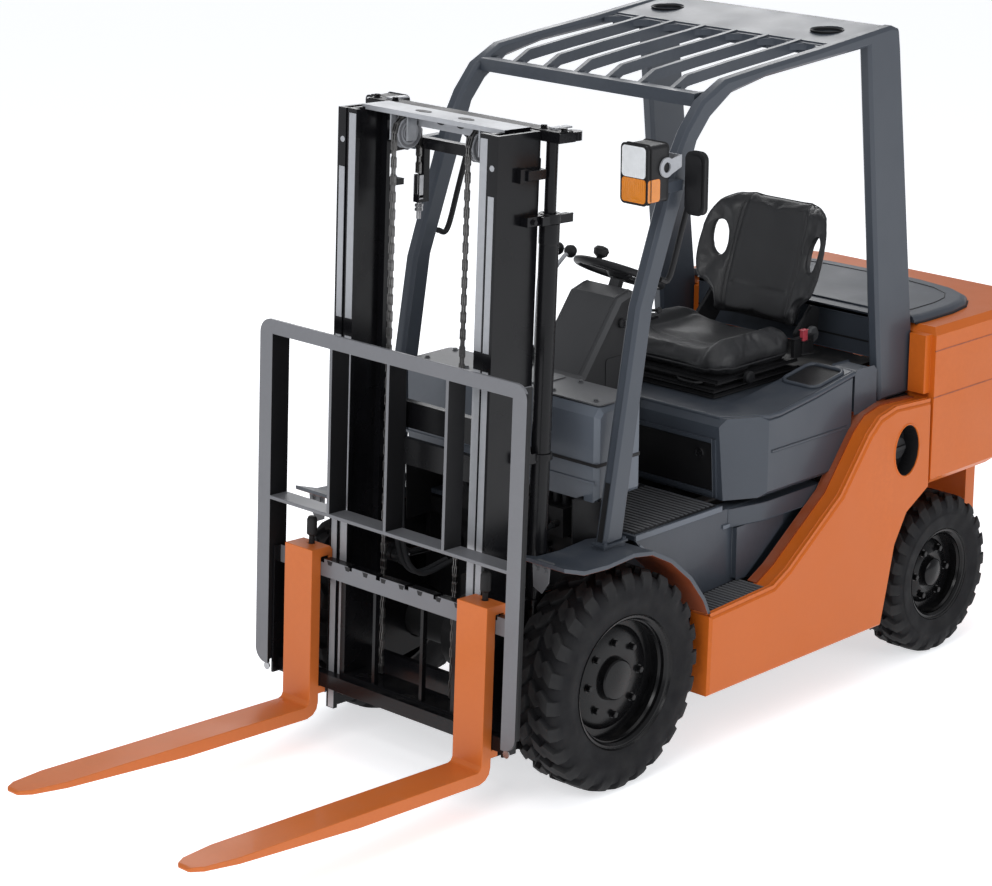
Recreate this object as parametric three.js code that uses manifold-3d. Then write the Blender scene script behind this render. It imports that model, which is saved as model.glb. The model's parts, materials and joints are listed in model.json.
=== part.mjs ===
// A 2.5 t class counterbalance forklift truck, in millimetres.
// +Z is up, the front is towards -Y and the driver's left towards +X.
// Outlines are given in truck stations: Y counts rearwards from the front face of the forks' shanks.
import * as THREE from 'three';
import { mergeVertices } from 'three/addons/utils/BufferGeometryUtils.js';
import Module from 'manifold-3d';

const wasm = await Module();
wasm.setup();

// ---------------------------------------------------------------- driving dimensions
const HALF_WIDTH = 572;          // outer face of the side panels
const FORK_LENGTH = 1070;
const REAR_END = 2585;           // rearmost station of the counterweight
const CENTRE_STATION = 754.7;      // station that becomes Y = 0
const WHEELBASE = 1600;
const FRONT_AXLE = 462;
const REAR_AXLE = FRONT_AXLE + WHEELBASE;

const FRONT_TYRE = { radius: 338, width: 190, rim: 200, centreX: 475 };
const REAR_TYRE = { radius: 270, width: 160, rim: 150, centreX: 471 };

const MAST_TILT = THREE.MathUtils.degToRad(2.4);   // the mast stands this far back from upright
const MAST_DATUM = { y: 420, z: 300 };             // point about which the upright mast is leaned
const MAST_TOP = 1965;
const FORK = { centreX: 364, width: 120, thick: 38, bladeTop: 140, bladeBottom: 100, top: 634 };
const BAR = { front: 39, back: 69, upperLow: 549, upperTop: 604, lowerLow: 199, lowerTop: 243, half: 484 };
const LIFT = { x: 339, y: 293.6, tube: 29, bore: 19.5, rod: 17.5 };
const CHAIN = { x: 150, width: 20, thick: 8, radius: 50, sheaveY: 200, sheaveZ: 1903 };
const CHAIN_TOP = CHAIN.sheaveZ + CHAIN.radius + CHAIN.thick / 2;

const GUARD = { inner: 434, outer: 480 };
const FLOOR_TOP = 715;
const COWL = { front: 500, back: 700, low: 845, top: 1135, half: 400 };
const WHEEL_TILT = THREE.MathUtils.degToRad(25);   // steering wheel axis, from vertical
const STEERING = { y: 1040, z: 1385, radius: 150, grip: 13 };
const KINGPIN_X = 420;
const LAMP_PIVOT = { y: 626, z: 1782 };
const TILT_X = 275;                                // tilt cylinder centre planes
const TILT_REAR = { y: 1150, z: 520 };             // tilt cylinder's pivot on the frame
const TILT_LUG = { y: 345, z: 560 };               // its pin on the upright mast

// ---------------------------------------------------------------- materials
const paint = (color, roughness = 0.45, metalness = 0.1) =>
  new THREE.MeshStandardMaterial({ color, roughness, metalness });
const ORANGE = paint(0xc45c26);
const FORK_ORANGE = paint(0xcd7346);
const DARK_GREY = paint(0x464d58);
const COWL_GREY = paint(0x78828e);
const MAST_BLACK = paint(0x1c1d20, 0.3, 0.4);
const BAR_GREY = paint(0x8c8c91, 0.5, 0.3);
const IRON = paint(0x3a3b3d, 0.6, 0.5);
const CHROME = paint(0xc8c8cc, 0.15, 1.0);
const RUBBER = paint(0x232426, 0.9, 0);
const VINYL = paint(0x2c3036, 0.75, 0);
const PLASTIC = paint(0x18191b, 0.6, 0);
const LAMP = paint(0xd8c9a0, 0.2, 0);

// ---------------------------------------------------------------- solids
// A closed mesh with shared corners, its faces pointing out.
function closed(geometry) {
  const bare = geometry.clone();
  bare.deleteAttribute('normal');
  bare.deleteAttribute('uv');
  const merged = mergeVertices(bare, 1e-3);
  const point = merged.getAttribute('position').array;
  const source = merged.getIndex().array;
  const index = [];
  let volume = 0;
  for (let i = 0; i < source.length; i += 3) {
    const [a, b, c] = [source[i], source[i + 1], source[i + 2]];
    if (a === b || b === c || c === a) continue;
    index.push(a, b, c);
    const [p, q, r] = [a, b, c].map((k) => new THREE.Vector3().fromArray(point, k * 3));
    volume += p.dot(q.cross(r));
  }
  if (volume < 0) index.reverse();
  const result = new THREE.BufferGeometry();
  result.setAttribute('position', new THREE.BufferAttribute(new Float32Array(point), 3));
  result.setIndex(index);
  return result;
}

function toManifold(geometry) {
  const vertProperties = new Float32Array(geometry.getAttribute('position').array);
  const triVerts = new Uint32Array(geometry.getIndex().array);
  return new wasm.Manifold(new wasm.Mesh({ numProp: 3, vertProperties, triVerts }));
}

function fromManifold(manifold) {
  const mesh = manifold.getMesh();
  const geometry = new THREE.BufferGeometry();
  geometry.setAttribute('position', new THREE.BufferAttribute(new Float32Array(mesh.vertProperties), 3));
  geometry.setIndex(Array.from(mesh.triVerts));
  return geometry;
}

const fold = (operation) => (first, ...others) =>
  fromManifold(others.reduce((sum, next) => sum[operation](toManifold(next)), toManifold(first)));
const join = fold('add');
const cut = fold('subtract');
const meet = fold('intersect');

function box(x0, x1, y0, y1, z0, z1) {
  const geometry = new THREE.BoxGeometry(x1 - x0, y1 - y0, z1 - z0);
  geometry.translate((x0 + x1) / 2, (y0 + y1) / 2, (z0 + z1) / 2);
  return closed(geometry);
}

// A flat outline pushed along one axis from a to b: [y, z] along X, [x, z] along Y, [x, y] along Z.
function prism(axis, outline, a, b, bevel = 0) {
  const shape = outline instanceof THREE.Shape ? outline
    : new THREE.Shape(outline.map(([u, v]) => new THREE.Vector2(u, v)));
  const options = { depth: b - a - 2 * bevel, bevelEnabled: bevel > 0, bevelSegments: 1 };
  Object.assign(options, { bevelSize: bevel, bevelThickness: bevel, bevelOffset: -bevel, curveSegments: 8 });
  const geometry = new THREE.ExtrudeGeometry(shape, options);
  geometry.translate(0, 0, bevel);
  const [X, Y, Z] = [new THREE.Vector3(1, 0, 0), new THREE.Vector3(0, 1, 0), new THREE.Vector3(0, 0, 1)];
  const turn = new THREE.Matrix4();
  if (axis === 'X') turn.makeBasis(Y, Z, X).setPosition(a, 0, 0);
  if (axis === 'Y') turn.makeBasis(X, Z, Y.clone().negate()).setPosition(0, b, 0);
  if (axis === 'Z') turn.setPosition(0, 0, a);
  geometry.applyMatrix4(turn);
  return closed(geometry);
}

function lay(geometry, axis) {
  if (axis === 'X') geometry.rotateZ(-Math.PI / 2);
  if (axis === 'Z') geometry.rotateX(Math.PI / 2);
  return geometry;
}

// A cylinder of radius r along an axis, from a to b, centred on the other two coordinates.
function rod(axis, r, a, b, [u, v], sides = 16) {
  const geometry = lay(new THREE.CylinderGeometry(r, r, b - a, sides), axis);
  const middle = (a + b) / 2;
  if (axis === 'X') geometry.translate(middle, u, v);
  if (axis === 'Y') geometry.translate(u, middle, v);
  if (axis === 'Z') geometry.translate(u, v, middle);
  return closed(geometry);
}

// A turned solid: profile points are [radius, height along the axis].
function turned(axis, profile, sides = 24) {
  const points = profile.map(([r, h]) => new THREE.Vector2(r, h));
  return closed(lay(new THREE.LatheGeometry(points, sides), axis));
}

// A round bar through a list of points.
function bar(points, r, sides = 8) {
  const path = new THREE.CurvePath();
  const knots = points.map((p) => new THREE.Vector3(...p));
  for (let i = 1; i < knots.length; i += 1) path.add(new THREE.LineCurve3(knots[i - 1], knots[i]));
  const pieces = [];
  for (const line of path.curves) {
    const length = line.getLength();
    const geometry = new THREE.CylinderGeometry(r, r, length, sides);
    const along = line.v2.clone().sub(line.v1).normalize();
    const spin = new THREE.Quaternion().setFromUnitVectors(new THREE.Vector3(0, 1, 0), along);
    const place = new THREE.Matrix4().compose(line.getPoint(0.5), spin, new THREE.Vector3(1, 1, 1));
    pieces.push(closed(geometry.applyMatrix4(place)));
  }
  for (const knot of knots.slice(1, -1)) {
    const ball = new THREE.SphereGeometry(r * 1.02, sides, 4);
    ball.translate(knot.x, knot.y, knot.z);
    pieces.push(closed(ball));
  }
  return pieces.length > 1 ? join(...pieces) : pieces[0];
}

function mirrored(geometry) {
  const copy = geometry.clone();
  copy.scale(-1, 1, 1);
  return closed(copy);
}

// Both sides of the truck from the left one.
const bothSides = (left) => join(left, mirrored(left));

// ---------------------------------------------------------------- the assembly tree
const truck = new THREE.Group();
truck.position.y = -CENTRE_STATION;
const mastLean = new THREE.Group();
mastLean.position.set(0, MAST_DATUM.y, MAST_DATUM.z);
mastLean.rotation.x = -MAST_TILT;
const mast = new THREE.Group();
mast.position.set(0, -MAST_DATUM.y, -MAST_DATUM.z);
mastLean.add(mast);
truck.add(mastLean);

function place(parent, name, geometry, material, position = [0, 0, 0], rotationX = 0) {
  const mesh = new THREE.Mesh(geometry, material);
  mesh.name = name;
  mesh.position.set(...position);
  mesh.rotation.x = rotationX;
  parent.add(mesh);
}

function placePair(parent, name, left, material, position = [0, 0, 0], rotationX = 0) {
  const [x, y, z] = position;
  place(parent, `${name}_left`, left, material, [x, y, z], rotationX);
  place(parent, `${name}_right`, mirrored(left), material, [-x, y, z], rotationX);
}

// A truck station and height, seen in the upright mast's own frame, and back.
function toMast(y, z) {
  const [dy, dz] = [y - MAST_DATUM.y, z - MAST_DATUM.z];
  const [c, s] = [Math.cos(MAST_TILT), Math.sin(MAST_TILT)];
  return [MAST_DATUM.y + dy * c - dz * s, MAST_DATUM.z + dy * s + dz * c];
}

function fromMast(y, z) {
  const [dy, dz] = [y - MAST_DATUM.y, z - MAST_DATUM.z];
  const [c, s] = [Math.cos(MAST_TILT), Math.sin(MAST_TILT)];
  return [MAST_DATUM.y + dy * c + dz * s, MAST_DATUM.z - dy * s + dz * c];
}

// ---------------------------------------------------------------- chassis
function chassisFrame() {
  const sidePlate = box(350, 370, 560, 1760, 230, 690);
  const deckPlate = box(352, 370, 1655, 1760, 680, 1012);
  const tiltPin = rod('X', 14, 262, 352, [TILT_REAR.y, TILT_REAR.z], 12);
  const left = join(sidePlate, deckPlate, tiltPin);
  const beams = [
    box(-360, 360, 560, 600, 640, 690),
    box(-360, 360, 900, 1000, 230, 250),
    box(-360, 360, 1500, 1600, 230, 250),
    box(-360, 360, 1700, 1760, 560, 690),
    box(-375, 375, 1655, 1895, 1000, 1012),
    box(360, 476, 1700, 1930, 892, 911),
    box(-476, -360, 1700, 1930, 892, 911),
  ];
  return join(bothSides(left), ...beams);
}

function driveAxle() {
  const half = [[0, -440], [40, -440], [40, -372], [70, -365], [70, -120], [125, -85], [125, 85], [70, 120],
    [70, 365], [40, 372], [40, 440], [0, 440]];
  const tube = turned('X', half, 20);
  tube.translate(0, FRONT_AXLE, FRONT_TYRE.radius);
  const gearbox = box(-140, 140, FRONT_AXLE + 20, 990, 262, 500);
  const bell = rod('Y', 170, 940, 990, [0, 430], 20);
  return join(tube, gearbox, bell);
}

function engine() {
  const block = box(-150, 150, 1000, 1480, 300, 640);
  const sump = box(-110, 110, 1020, 1460, 262, 320);
  const head = box(-120, 120, 1110, 1470, 630, 720);
  const cover = box(-90, 90, 1130, 1450, 710, 770);
  const intake = rod('Y', 45, 1110, 1440, [160, 660], 12);
  const pulley = rod('Y', 80, 1475, 1520, [0, 430], 16);
  const fanShaft = rod('Y', 22, 1470, 1600, [0, 620], 12);
  const fan = rod('Y', 190, 1585, 1600, [0, 620], 20);
  return join(block, sump, head, cover, intake, pulley, fanShaft, fan);
}

function radiator() {
  const core = box(-270, 270, 1785, 1850, 590, 960);
  const tanks = join(box(-280, 280, 1780, 1855, 570, 610), box(-280, 280, 1780, 1855, 940, 985));
  return join(core, tanks);
}

function fuelTank() {
  const outline = [[880, 215], [880, 420], [1130, 420], [1210, 462], [1446, 620], [1690, 620], [1660, 215]];
  return prism('X', outline, 432, 545, 12);
}

// ---------------------------------------------------------------- side panels and the step
const PANEL = [[828, 190], [836, 445], [1141, 459], [1217, 497], [1474, 679], [1614, 850], [1667, 892],
  [1749, 910], [1935, 899], [1940, 608], [1824, 545], [1766, 450], [1739, 329], [1705, 190]];

// The same outline drawn in by a margin, each side moved parallel to itself.
function inset(outline, margin) {
  const turns = THREE.ShapeUtils.area(outline.map(([u, v]) => new THREE.Vector2(u, v))) > 0 ? 1 : -1;
  return outline.map((corner, i) => {
    const before = outline[(i + outline.length - 1) % outline.length];
    const after = outline[(i + 1) % outline.length];
    const a = new THREE.Vector2(corner[0] - before[0], corner[1] - before[1]).normalize();
    const b = new THREE.Vector2(after[0] - corner[0], after[1] - corner[1]).normalize();
    const normalA = new THREE.Vector2(-a.y, a.x).multiplyScalar(turns);
    const normalB = new THREE.Vector2(-b.y, b.x).multiplyScalar(turns);
    const middle = normalA.clone().add(normalB);
    middle.multiplyScalar(margin / (1 + normalA.dot(normalB)));
    return [corner[0] + middle.x, corner[1] + middle.y];
  });
}

function ellipse(centre, half) {
  const shape = new THREE.Shape();
  shape.absellipse(centre[0], centre[1], half[0], half[1], 0, 2 * Math.PI);
  return shape;
}

const FILLER = { centre: [1809, 762], half: [74, 95] };

function sidePanel(withFiller) {
  const skin = 14;
  const outer = prism('X', PANEL, 482, HALF_WIDTH, 8);
  const inner = prism('X', inset(PANEL, skin), 460, HALF_WIDTH - skin);
  const shell = cut(outer, inner);
  const tread = box(404, 484, 850, 1135, 434, 444);
  const panel = join(shell, tread);
  if (!withFiller) return panel;
  const boss = prism('X', ellipse(FILLER.centre, FILLER.half), 500, HALF_WIDTH - skin + 1);
  const dish = prism('X', ellipse(FILLER.centre, FILLER.half.map((h) => h - 9)), 512, HALF_WIDTH + 5);
  return cut(join(panel, boss), dish);
}

// ---------------------------------------------------------------- counterweight
function counterweight() {
  const plan = [[-HALF_WIDTH, 1943], [HALF_WIDTH, 1943], [HALF_WIDTH, 2290], [560, 2352], [525, 2430],
    [470, 2510], [420, 2555], [360, REAR_END], [-360, REAR_END], [-420, 2555], [-470, 2510], [-525, 2430],
    [-560, 2352], [-HALF_WIDTH, 2290]];
  const upper = prism('Z', plan, 612, 1140, 22);
  const shoulder = box(-HALF_WIDTH + 20, HALF_WIDTH - 20, 1912, 1990, 925, 1120);
  const basePlan = [[-420, 2368], [420, 2368], [420, 2420], [330, 2550], [-330, 2550], [-420, 2420]];
  const base = prism('Z', basePlan, 280, 640);
  const hangers = join(box(-70, 70, 1948, 1974, 230, 640), box(-70, 70, 2150, 2176, 230, 640));
  const pinHole = rod('Y', 23, 1900, 2200, [0, REAR_TYRE.radius], 16);
  const towSlot = box(-45, 45, 2480, 2600, 400, 470);
  const airDuct = join(box(-300, 300, 1900, 2490, 650, 1095), box(-170, 170, 2480, 2600, 700, 960));
  const postPocket = bothSides(box(GUARD.inner - 8, GUARD.outer + 8, 1900, 1941, 900, 1160));
  const body = join(upper, shoulder, base, hangers);
  return cut(body, pinHole, towSlot, airDuct, postPocket);
}

function radiatorCover() {
  const plan = [[-430, 1950], [430, 1950], [430, 2110], [390, 2160], [300, 2200], [0, 2225], [-300, 2200],
    [-390, 2160], [-430, 2110]];
  const top = prism('Z', plan, 1140.3, 1162, 8);
  const apron = box(-396, 396, 1896, 1965, 1141, 1160);
  const front = box(-396, 396, 1896, 1910, 1013, 1155);
  return join(top, apron, front);
}

// ---------------------------------------------------------------- operator's floor, cowl and fenders
function floorPlate() {
  const plate = join(box(-425, 425, 645, 1052, 700, FLOOR_TOP), box(-365, 365, 560, 650, 700, FLOOR_TOP));
  const side = [[648, 701], [667, 677], [757, 599], [822, 514], [850, 452], [1500, 452], [1500, 701]];
  const riser = prism('X', side, 413, 425);
  const ledge = box(372, 425, 1040, 1500, 691, 699.5);
  const rearLip = box(-425, 425, 1040, 1052, 691, FLOOR_TOP);
  return join(plate, bothSides(riser), bothSides(ledge), rearLip);
}

function frontCowl() {
  const { front, back, low, top, half } = COWL;
  const side = [[front, low], [front, top - 28], [front + 22, top - 4], [back - 8, top], [back, top - 10],
    [back, low]];
  const outer = prism('X', side, -half, half, 14);
  const inside = box(-half + 15, half - 15, front + 15, back + 20, low - 20, top - 22);
  return cut(outer, inside);
}

const FENDER = [[185, 761], [274, 732], [373, 726], [490, 733], [575, 719], [663, 672], [753, 595], [818, 511],
  [845, 454]];

function fender() {
  const thickness = 13;
  const under = inset([...FENDER, [845, 400], [185, 400]], thickness).slice(0, FENDER.length);
  under[0] = [FENDER[0][0] + 2, FENDER[0][1] - thickness];
  under[FENDER.length - 1] = [FENDER.at(-1)[0] - thickness, FENDER.at(-1)[1]];
  const arch = prism('X', [...FENDER, ...under.reverse()], 372, 562);
  const cheek = prism('X', [[430, 725], [575, 712], [663, 665], [753, 588], [818, 504], [843, 454], [843, 250],
    [800, 250], [765, 420], [660, 600], [540, 690], [430, 700]], 372, 379);
  const pillarFoot = box(GUARD.inner + 4, GUARD.outer, 446, 540, 722, 741);
  return join(arch, cheek, pillarFoot);
}

// ---------------------------------------------------------------- overhead guard
// Roof line of the guard: stations and heights of its upper edge.
const ROOF_LINE = [[785, 1931], [855, 2009], [962, 2059], [1149, 2077], [1406, 2097], [1769, 2132]];
const roofHeight = (y) => {
  const k = ROOF_LINE.findIndex(([station]) => station >= y);
  const [a, b] = [ROOF_LINE[k - 1], ROOF_LINE[k]];
  return a[1] + ((b[1] - a[1]) * (y - a[0])) / (b[0] - a[0]);
};

function guardSide(withMirrorArm) {
  const outline = [
    [452, 742], [580, 1435], [740, 1855], ...ROOF_LINE, [1806, 2118], [1816, 2060], [1860, 1700], [1936, 1130],
    [1936, 914], [1775, 914], [1748, 1150], [1700, 1600], [1649, 2077], [1150, 2045], [989, 2016], [893, 1956],
    [835, 1892], [654, 1435], [532, 742],
  ];
  const tube = prism('X', outline, GUARD.inner, GUARD.outer, 10);
  const bracket = box(470, 500, 612, 745, 1766, 1798);
  const lampPin = rod('X', 6, 499, 528, [LAMP_PIVOT.y, LAMP_PIVOT.z], 10);
  const parts = [tube, bracket, lampPin];
  if (withMirrorArm) parts.push(rod('X', 7, 478, 489, [762, 1785], 10));
  return join(...parts);
}

function guardRoof() {
  const half = GUARD.inner - 0.4;
  const bars = [box(-half, half, 866, 905, 1985, 2024), box(-half, half, 1480, 1512, 2062, 2096)];
  const profile = [];
  for (const y of [880, 962, 1149, 1406, 1500]) profile.push([y, roofHeight(y) - 4]);
  const lower = profile.map(([y, z]) => [y, z - 34]).reverse();
  for (const x of [-320, -192, -64, 64, 192, 320]) {
    bars.push(prism('X', [...profile, ...lower], x - 8, x + 8));
  }
  const plate = prism('X', [[1500, 2086], [1500, 2100], [1769, 2128], [1795, 2116], [1795, 2102], [1760, 2112]],
    -half, half);
  const rearBar = box(-half, half, 1745, 1790, 2060, 2108);
  let roof = join(...bars, plate, rearBar);
  for (const x of [-335, 320]) roof = cut(roof, rod('Z', 52, 2050, 2200, [x, 1640], 16));
  return roof;
}

// ---------------------------------------------------------------- steering column and console
function steeringColumn() {
  const outline = [[705, 718], [705, 1112], [764, 1124], [925, 1335], [985, 1352], [1088, 1300], [1008, 1005],
    [975, 718]];
  const cover = prism('X', outline, -108, 108, 12);
  const hollow = prism('X', [[690, 700], [690, 1095], [770, 1104], [975, 1000], [950, 700]], -90, 90);
  const console = box(-300, -90, 870, 1000, 1030, 1082);
  const c = Math.cos(WHEEL_TILT);
  const s = Math.sin(WHEEL_TILT);
  const along = (distance) => [0, STEERING.y - distance * s, STEERING.z - distance * c];
  const shaft = bar([along(90), along(22)], 22, 12);
  return join(cut(join(cover, console), hollow), shaft);
}

function steeringWheel() {
  const { radius, grip } = STEERING;
  const rim = closed(new THREE.TorusGeometry(radius - grip, grip, 6, 24));
  const hub = turned('Z', [[0, -20], [30, -20], [42, 0], [36, 12], [0, 16]], 16);
  const parts = [rim, hub];
  for (const turn of [90, 210, 330]) {
    const spoke = box(20, radius - grip, -11, 11, -5, 5);
    spoke.rotateZ(THREE.MathUtils.degToRad(turn));
    parts.push(spoke);
  }
  return join(...parts);
}

function spinnerKnob() {
  return turned('Z', [[0, 0], [9, 0], [9, 12], [21, 20], [25, 36], [18, 46], [0, 50]], 14);
}

function hydraulicLever() {
  const stem = bar([[0, 0, 0], [0, 20, 262], [0, 66, 312], [0, 96, 322]], 6.5, 6);
  const knob = closed(new THREE.SphereGeometry(21, 10, 6).translate(0, 100, 326));
  return join(stem, knob);
}

function directionLever() {
  const stem = bar([[114, 0, 0], [190, 6, 14]], 5, 8);
  const tip = closed(new THREE.SphereGeometry(11, 8, 5).translate(194, 6, 15));
  return join(stem, tip);
}

function acceleratorPedal() {
  return prism('X', [[0, 0], [6, 10], [-78, 92], [-88, 84]], -30, 30, 3);
}

function brakePedal() {
  const arm = prism('X', [[-12, 8], [10, 8], [86, -196], [66, -204]], -8, 8);
  const pad = prism('X', [[62, -160], [74, -164], [94, -218], [82, -224]], -38, 38);
  return join(arm, pad);
}

// ---------------------------------------------------------------- hood and seat
function engineHood() {
  const side = [[1078, 722], [1062, 960], [1085, 984], [1257, 984], [1440, 1007], [1640, 1040], [1640, 722]];
  const plan = [[-385, 1040], [385, 1040], [480, 1205], [480, 1700], [-480, 1700], [-480, 1205]];
  const outer = meet(prism('X', side, -480, 480, 16), prism('Z', plan, 700, 1060));
  const inside = meet(prism('X', [[1094, 700], [1080, 950], [1095, 962], [1660, 962], [1660, 700]], -466, 466),
    prism('Z', inset(plan, 14), 690, 970));
  const deck = box(-300, 300, 1190, 1660, 980, 1100);
  const base = box(-205, 205, 1270, 1600, 979, 1012);
  return join(cut(outer, inside, deck), base);
}

function seatCushion() {
  const pad = prism('Z', [[-250, 1262], [-225, 1240], [225, 1240], [250, 1262], [255, 1640], [235, 1672],
    [-235, 1672], [-255, 1640]], 1034, 1112, 18);
  const pan = box(-195, 195, 1275, 1625, 1013, 1036);
  return join(pad, pan);
}

function seatBackrest() {
  const side = [[1690, 1096], [1712, 1240], [1760, 1478], [1795, 1502], [1842, 1488], [1850, 1460], [1800, 1240],
    [1768, 1096]];
  const front = [[-205, 1096], [205, 1096], [255, 1150], [262, 1300], [232, 1420], [190, 1502], [-190, 1502],
    [-232, 1420], [-262, 1300], [-255, 1150]];
  return meet(prism('X', side, -270, 270), prism('Y', front, 1650, 1900, 16));
}

// ---------------------------------------------------------------- mast
function channel(web, flangeTip, y0, y1, flange, z0, z1) {
  const [inner, outer] = web;
  const plan = [[outer, y0], [outer, y1], [flangeTip, y1], [flangeTip, y1 - flange], [inner, y1 - flange],
    [inner, y0 + flange], [flangeTip, y0 + flange], [flangeTip, y0]];
  return prism('Z', plan, z0, z1);
}

function outerMast() {
  const rail = channel([310, 323], 290, 88, 262, 16, 115, MAST_TOP);
  const foot = box(302, 372, 255, 325, 118, 138);
  const [axleY, axleZ] = toMast(FRONT_AXLE, FRONT_TYRE.radius);
  const outline = [[258, 200], [258, 600], [330, 600], [372, 560], [axleY, axleZ + 105],
    [axleY + 90, axleZ + 50], [axleY + 100, axleZ], [axleY + 90, axleZ - 50], [axleY, axleZ - 105], [350, 215]];
  const saddle = prism('X', outline, 290, 309);
  const bearing = rod('X', 74, 280, 320, [axleY, axleZ], 20);
  const tiltPin = rod('X', 14, 262, 300, [TILT_LUG.y, TILT_LUG.z], 12);
  const anchor = join(box(138, 162, 262, 286, 1690, 1853), box(138, 162, 244, 286, 1690, 1712));
  const left = join(rail, foot, cut(saddle, bearing), tiltPin);
  const levels = [[130, 260], [1000, 1080], [1850, 1883]];
  const crossmembers = levels.map(([low, high]) => box(-305, 305, 258, 286, low, high));
  return join(bothSides(left), ...crossmembers, bothSides(anchor));
}

function liftCylinder() {
  const { tube, bore } = LIFT;
  const gland = tube + 1.5;
  return turned('Z', [[0, 138.4], [tube, 138.4], [tube, 1640], [gland, 1642], [gland, 1700], [bore, 1700],
    [bore, 160], [0, 160]], 18);
}

function innerMast() {
  const rail = channel([274, 287], 250, 92, 232, 14, 170, MAST_TOP);
  const roller = rod('X', 59, 286, 308, [183.5, 240], 14);
  const crosshead = [MAST_TOP - 28, MAST_TOP];
  const liftRod = rod('Z', LIFT.rod, 215, MAST_TOP - 10, [LIFT.x, LIFT.y], 14);
  const lugs = join(box(128, 135, 182, 218, 1880, 1962), box(165, 172, 182, 218, 1880, 1962));
  const pin = rod('X', 11.4, 130, 170, [CHAIN.sheaveY, CHAIN.sheaveZ], 12);
  const left = join(rail, roller, lugs, pin);
  const ties = [
    box(-280, 280, 220, 240, 190, 290),
    box(-280, 280, 220, 240, 900, 980),
    box(-287, 287, 150, 256, CHAIN_TOP + 1, CHAIN_TOP + 15),
    box(-287, 287, 250, 266, ...crosshead),
    box(-392, 392, 264, 332, ...crosshead),
  ];
  const topBeam = cut(box(-287, 287, 228, 256, 1920, CHAIN_TOP + 10),
    bothSides(box(132, 168, 220, 260, 1900, CHAIN_TOP + 1)));
  return join(bothSides(left), ...ties, topBeam, liftRod, mirrored(liftRod));
}

function chainSheave() {
  const r = CHAIN.radius - CHAIN.thick / 2 - 0.5;
  return turned('X', [[12.4, -12], [r + 3, -12], [r + 3, -10.6], [r, -10.6], [r, 10.6], [r + 3, 10.6],
    [r + 3, 12], [12.4, 12], [12.4, -12]], 16);
}

function chain() {
  const { radius, thick, sheaveY, sheaveZ, width, x } = CHAIN;
  const shape = new THREE.Shape();
  const [out, inn] = [radius + thick / 2, radius - thick / 2];
  shape.moveTo(sheaveY - out, 250.4);
  shape.lineTo(sheaveY - out, sheaveZ);
  shape.absarc(sheaveY, sheaveZ, out, Math.PI, 0, true);
  shape.lineTo(sheaveY + out, 1765);
  shape.lineTo(sheaveY + inn, 1765);
  shape.lineTo(sheaveY + inn, sheaveZ);
  shape.absarc(sheaveY, sheaveZ, inn, 0, Math.PI, false);
  shape.lineTo(sheaveY - inn, 250.4);
  return prism('X', shape, x - width / 2, x + width / 2);
}

// ---------------------------------------------------------------- carriage, backrest and forks
function forkCarriage() {
  const { front, back, half } = BAR;
  const upper = box(-half - 1, half + 1, front, back, BAR.upperLow, BAR.upperTop);
  const lower = box(-half - 1, half + 1, front, back, BAR.lowerLow, BAR.lowerTop);
  const notches = [];
  for (let i = 0; i < 8; i += 1) {
    const x = -420 + i * 120;
    notches.push(box(x - 8, x + 8, front - 1, back + 1, BAR.upperTop - 12, BAR.upperTop + 1));
  }
  const cheek = [[back - 2, 199], [205, 199], [205, 495], [110, 560], [100, 582], [back - 2, 582]];
  const sidePlate = prism('X', cheek, 225, 245);
  const rollers = [232, 452].map((z) => rod('X', 44.5, 244, 272, [172, z], 14));
  const endPlate = box(half, half + 8, 14, back, BAR.lowerLow, BAR.upperTop);
  const left = join(sidePlate, ...rollers, endPlate);
  const anchorBeam = box(-230, 230, back - 2, 166, 229, 250);
  const struts = bothSides(box(94, 106, back - 2, 84, BAR.lowerTop - 10, BAR.upperLow + 10));
  return join(cut(upper, ...notches), lower, bothSides(left), anchorBeam, struts);
}

function loadBackrest() {
  const [outer, inner, low, top, depth] = [549, 494, 228, 1309, 70];
  const corner = 45;
  const frame = new THREE.Shape();
  frame.moveTo(-outer + corner, low);
  frame.lineTo(-inner, low);
  frame.lineTo(-inner, top - 44);
  frame.lineTo(inner, top - 44);
  frame.lineTo(inner, low);
  frame.lineTo(outer - corner, low);
  frame.absarc(outer - corner, low + corner, corner, -Math.PI / 2, 0, false);
  frame.absarc(outer - corner, top - corner, corner, 0, Math.PI / 2, false);
  frame.absarc(-outer + corner, top - corner, corner, Math.PI / 2, Math.PI, false);
  frame.absarc(-outer + corner, low + corner, corner, Math.PI, 1.5 * Math.PI, false);
  const flange = prism('Y', frame, 0, 10);
  const web = bothSides(box(inner, inner + 10, 8, depth, low + 12, top - 20));
  const midBar = box(-inner - 2, inner + 2, 0, depth, 753, 764);
  const topLip = box(-inner, inner, 8, 28, top - 44, top - 34);
  const slats = [-240, 0, 240].map((x) => box(x - 6, x + 6, 0, depth, 760, top - 40));
  return join(flange, web, midBar, topLip, ...slats);
}

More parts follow.
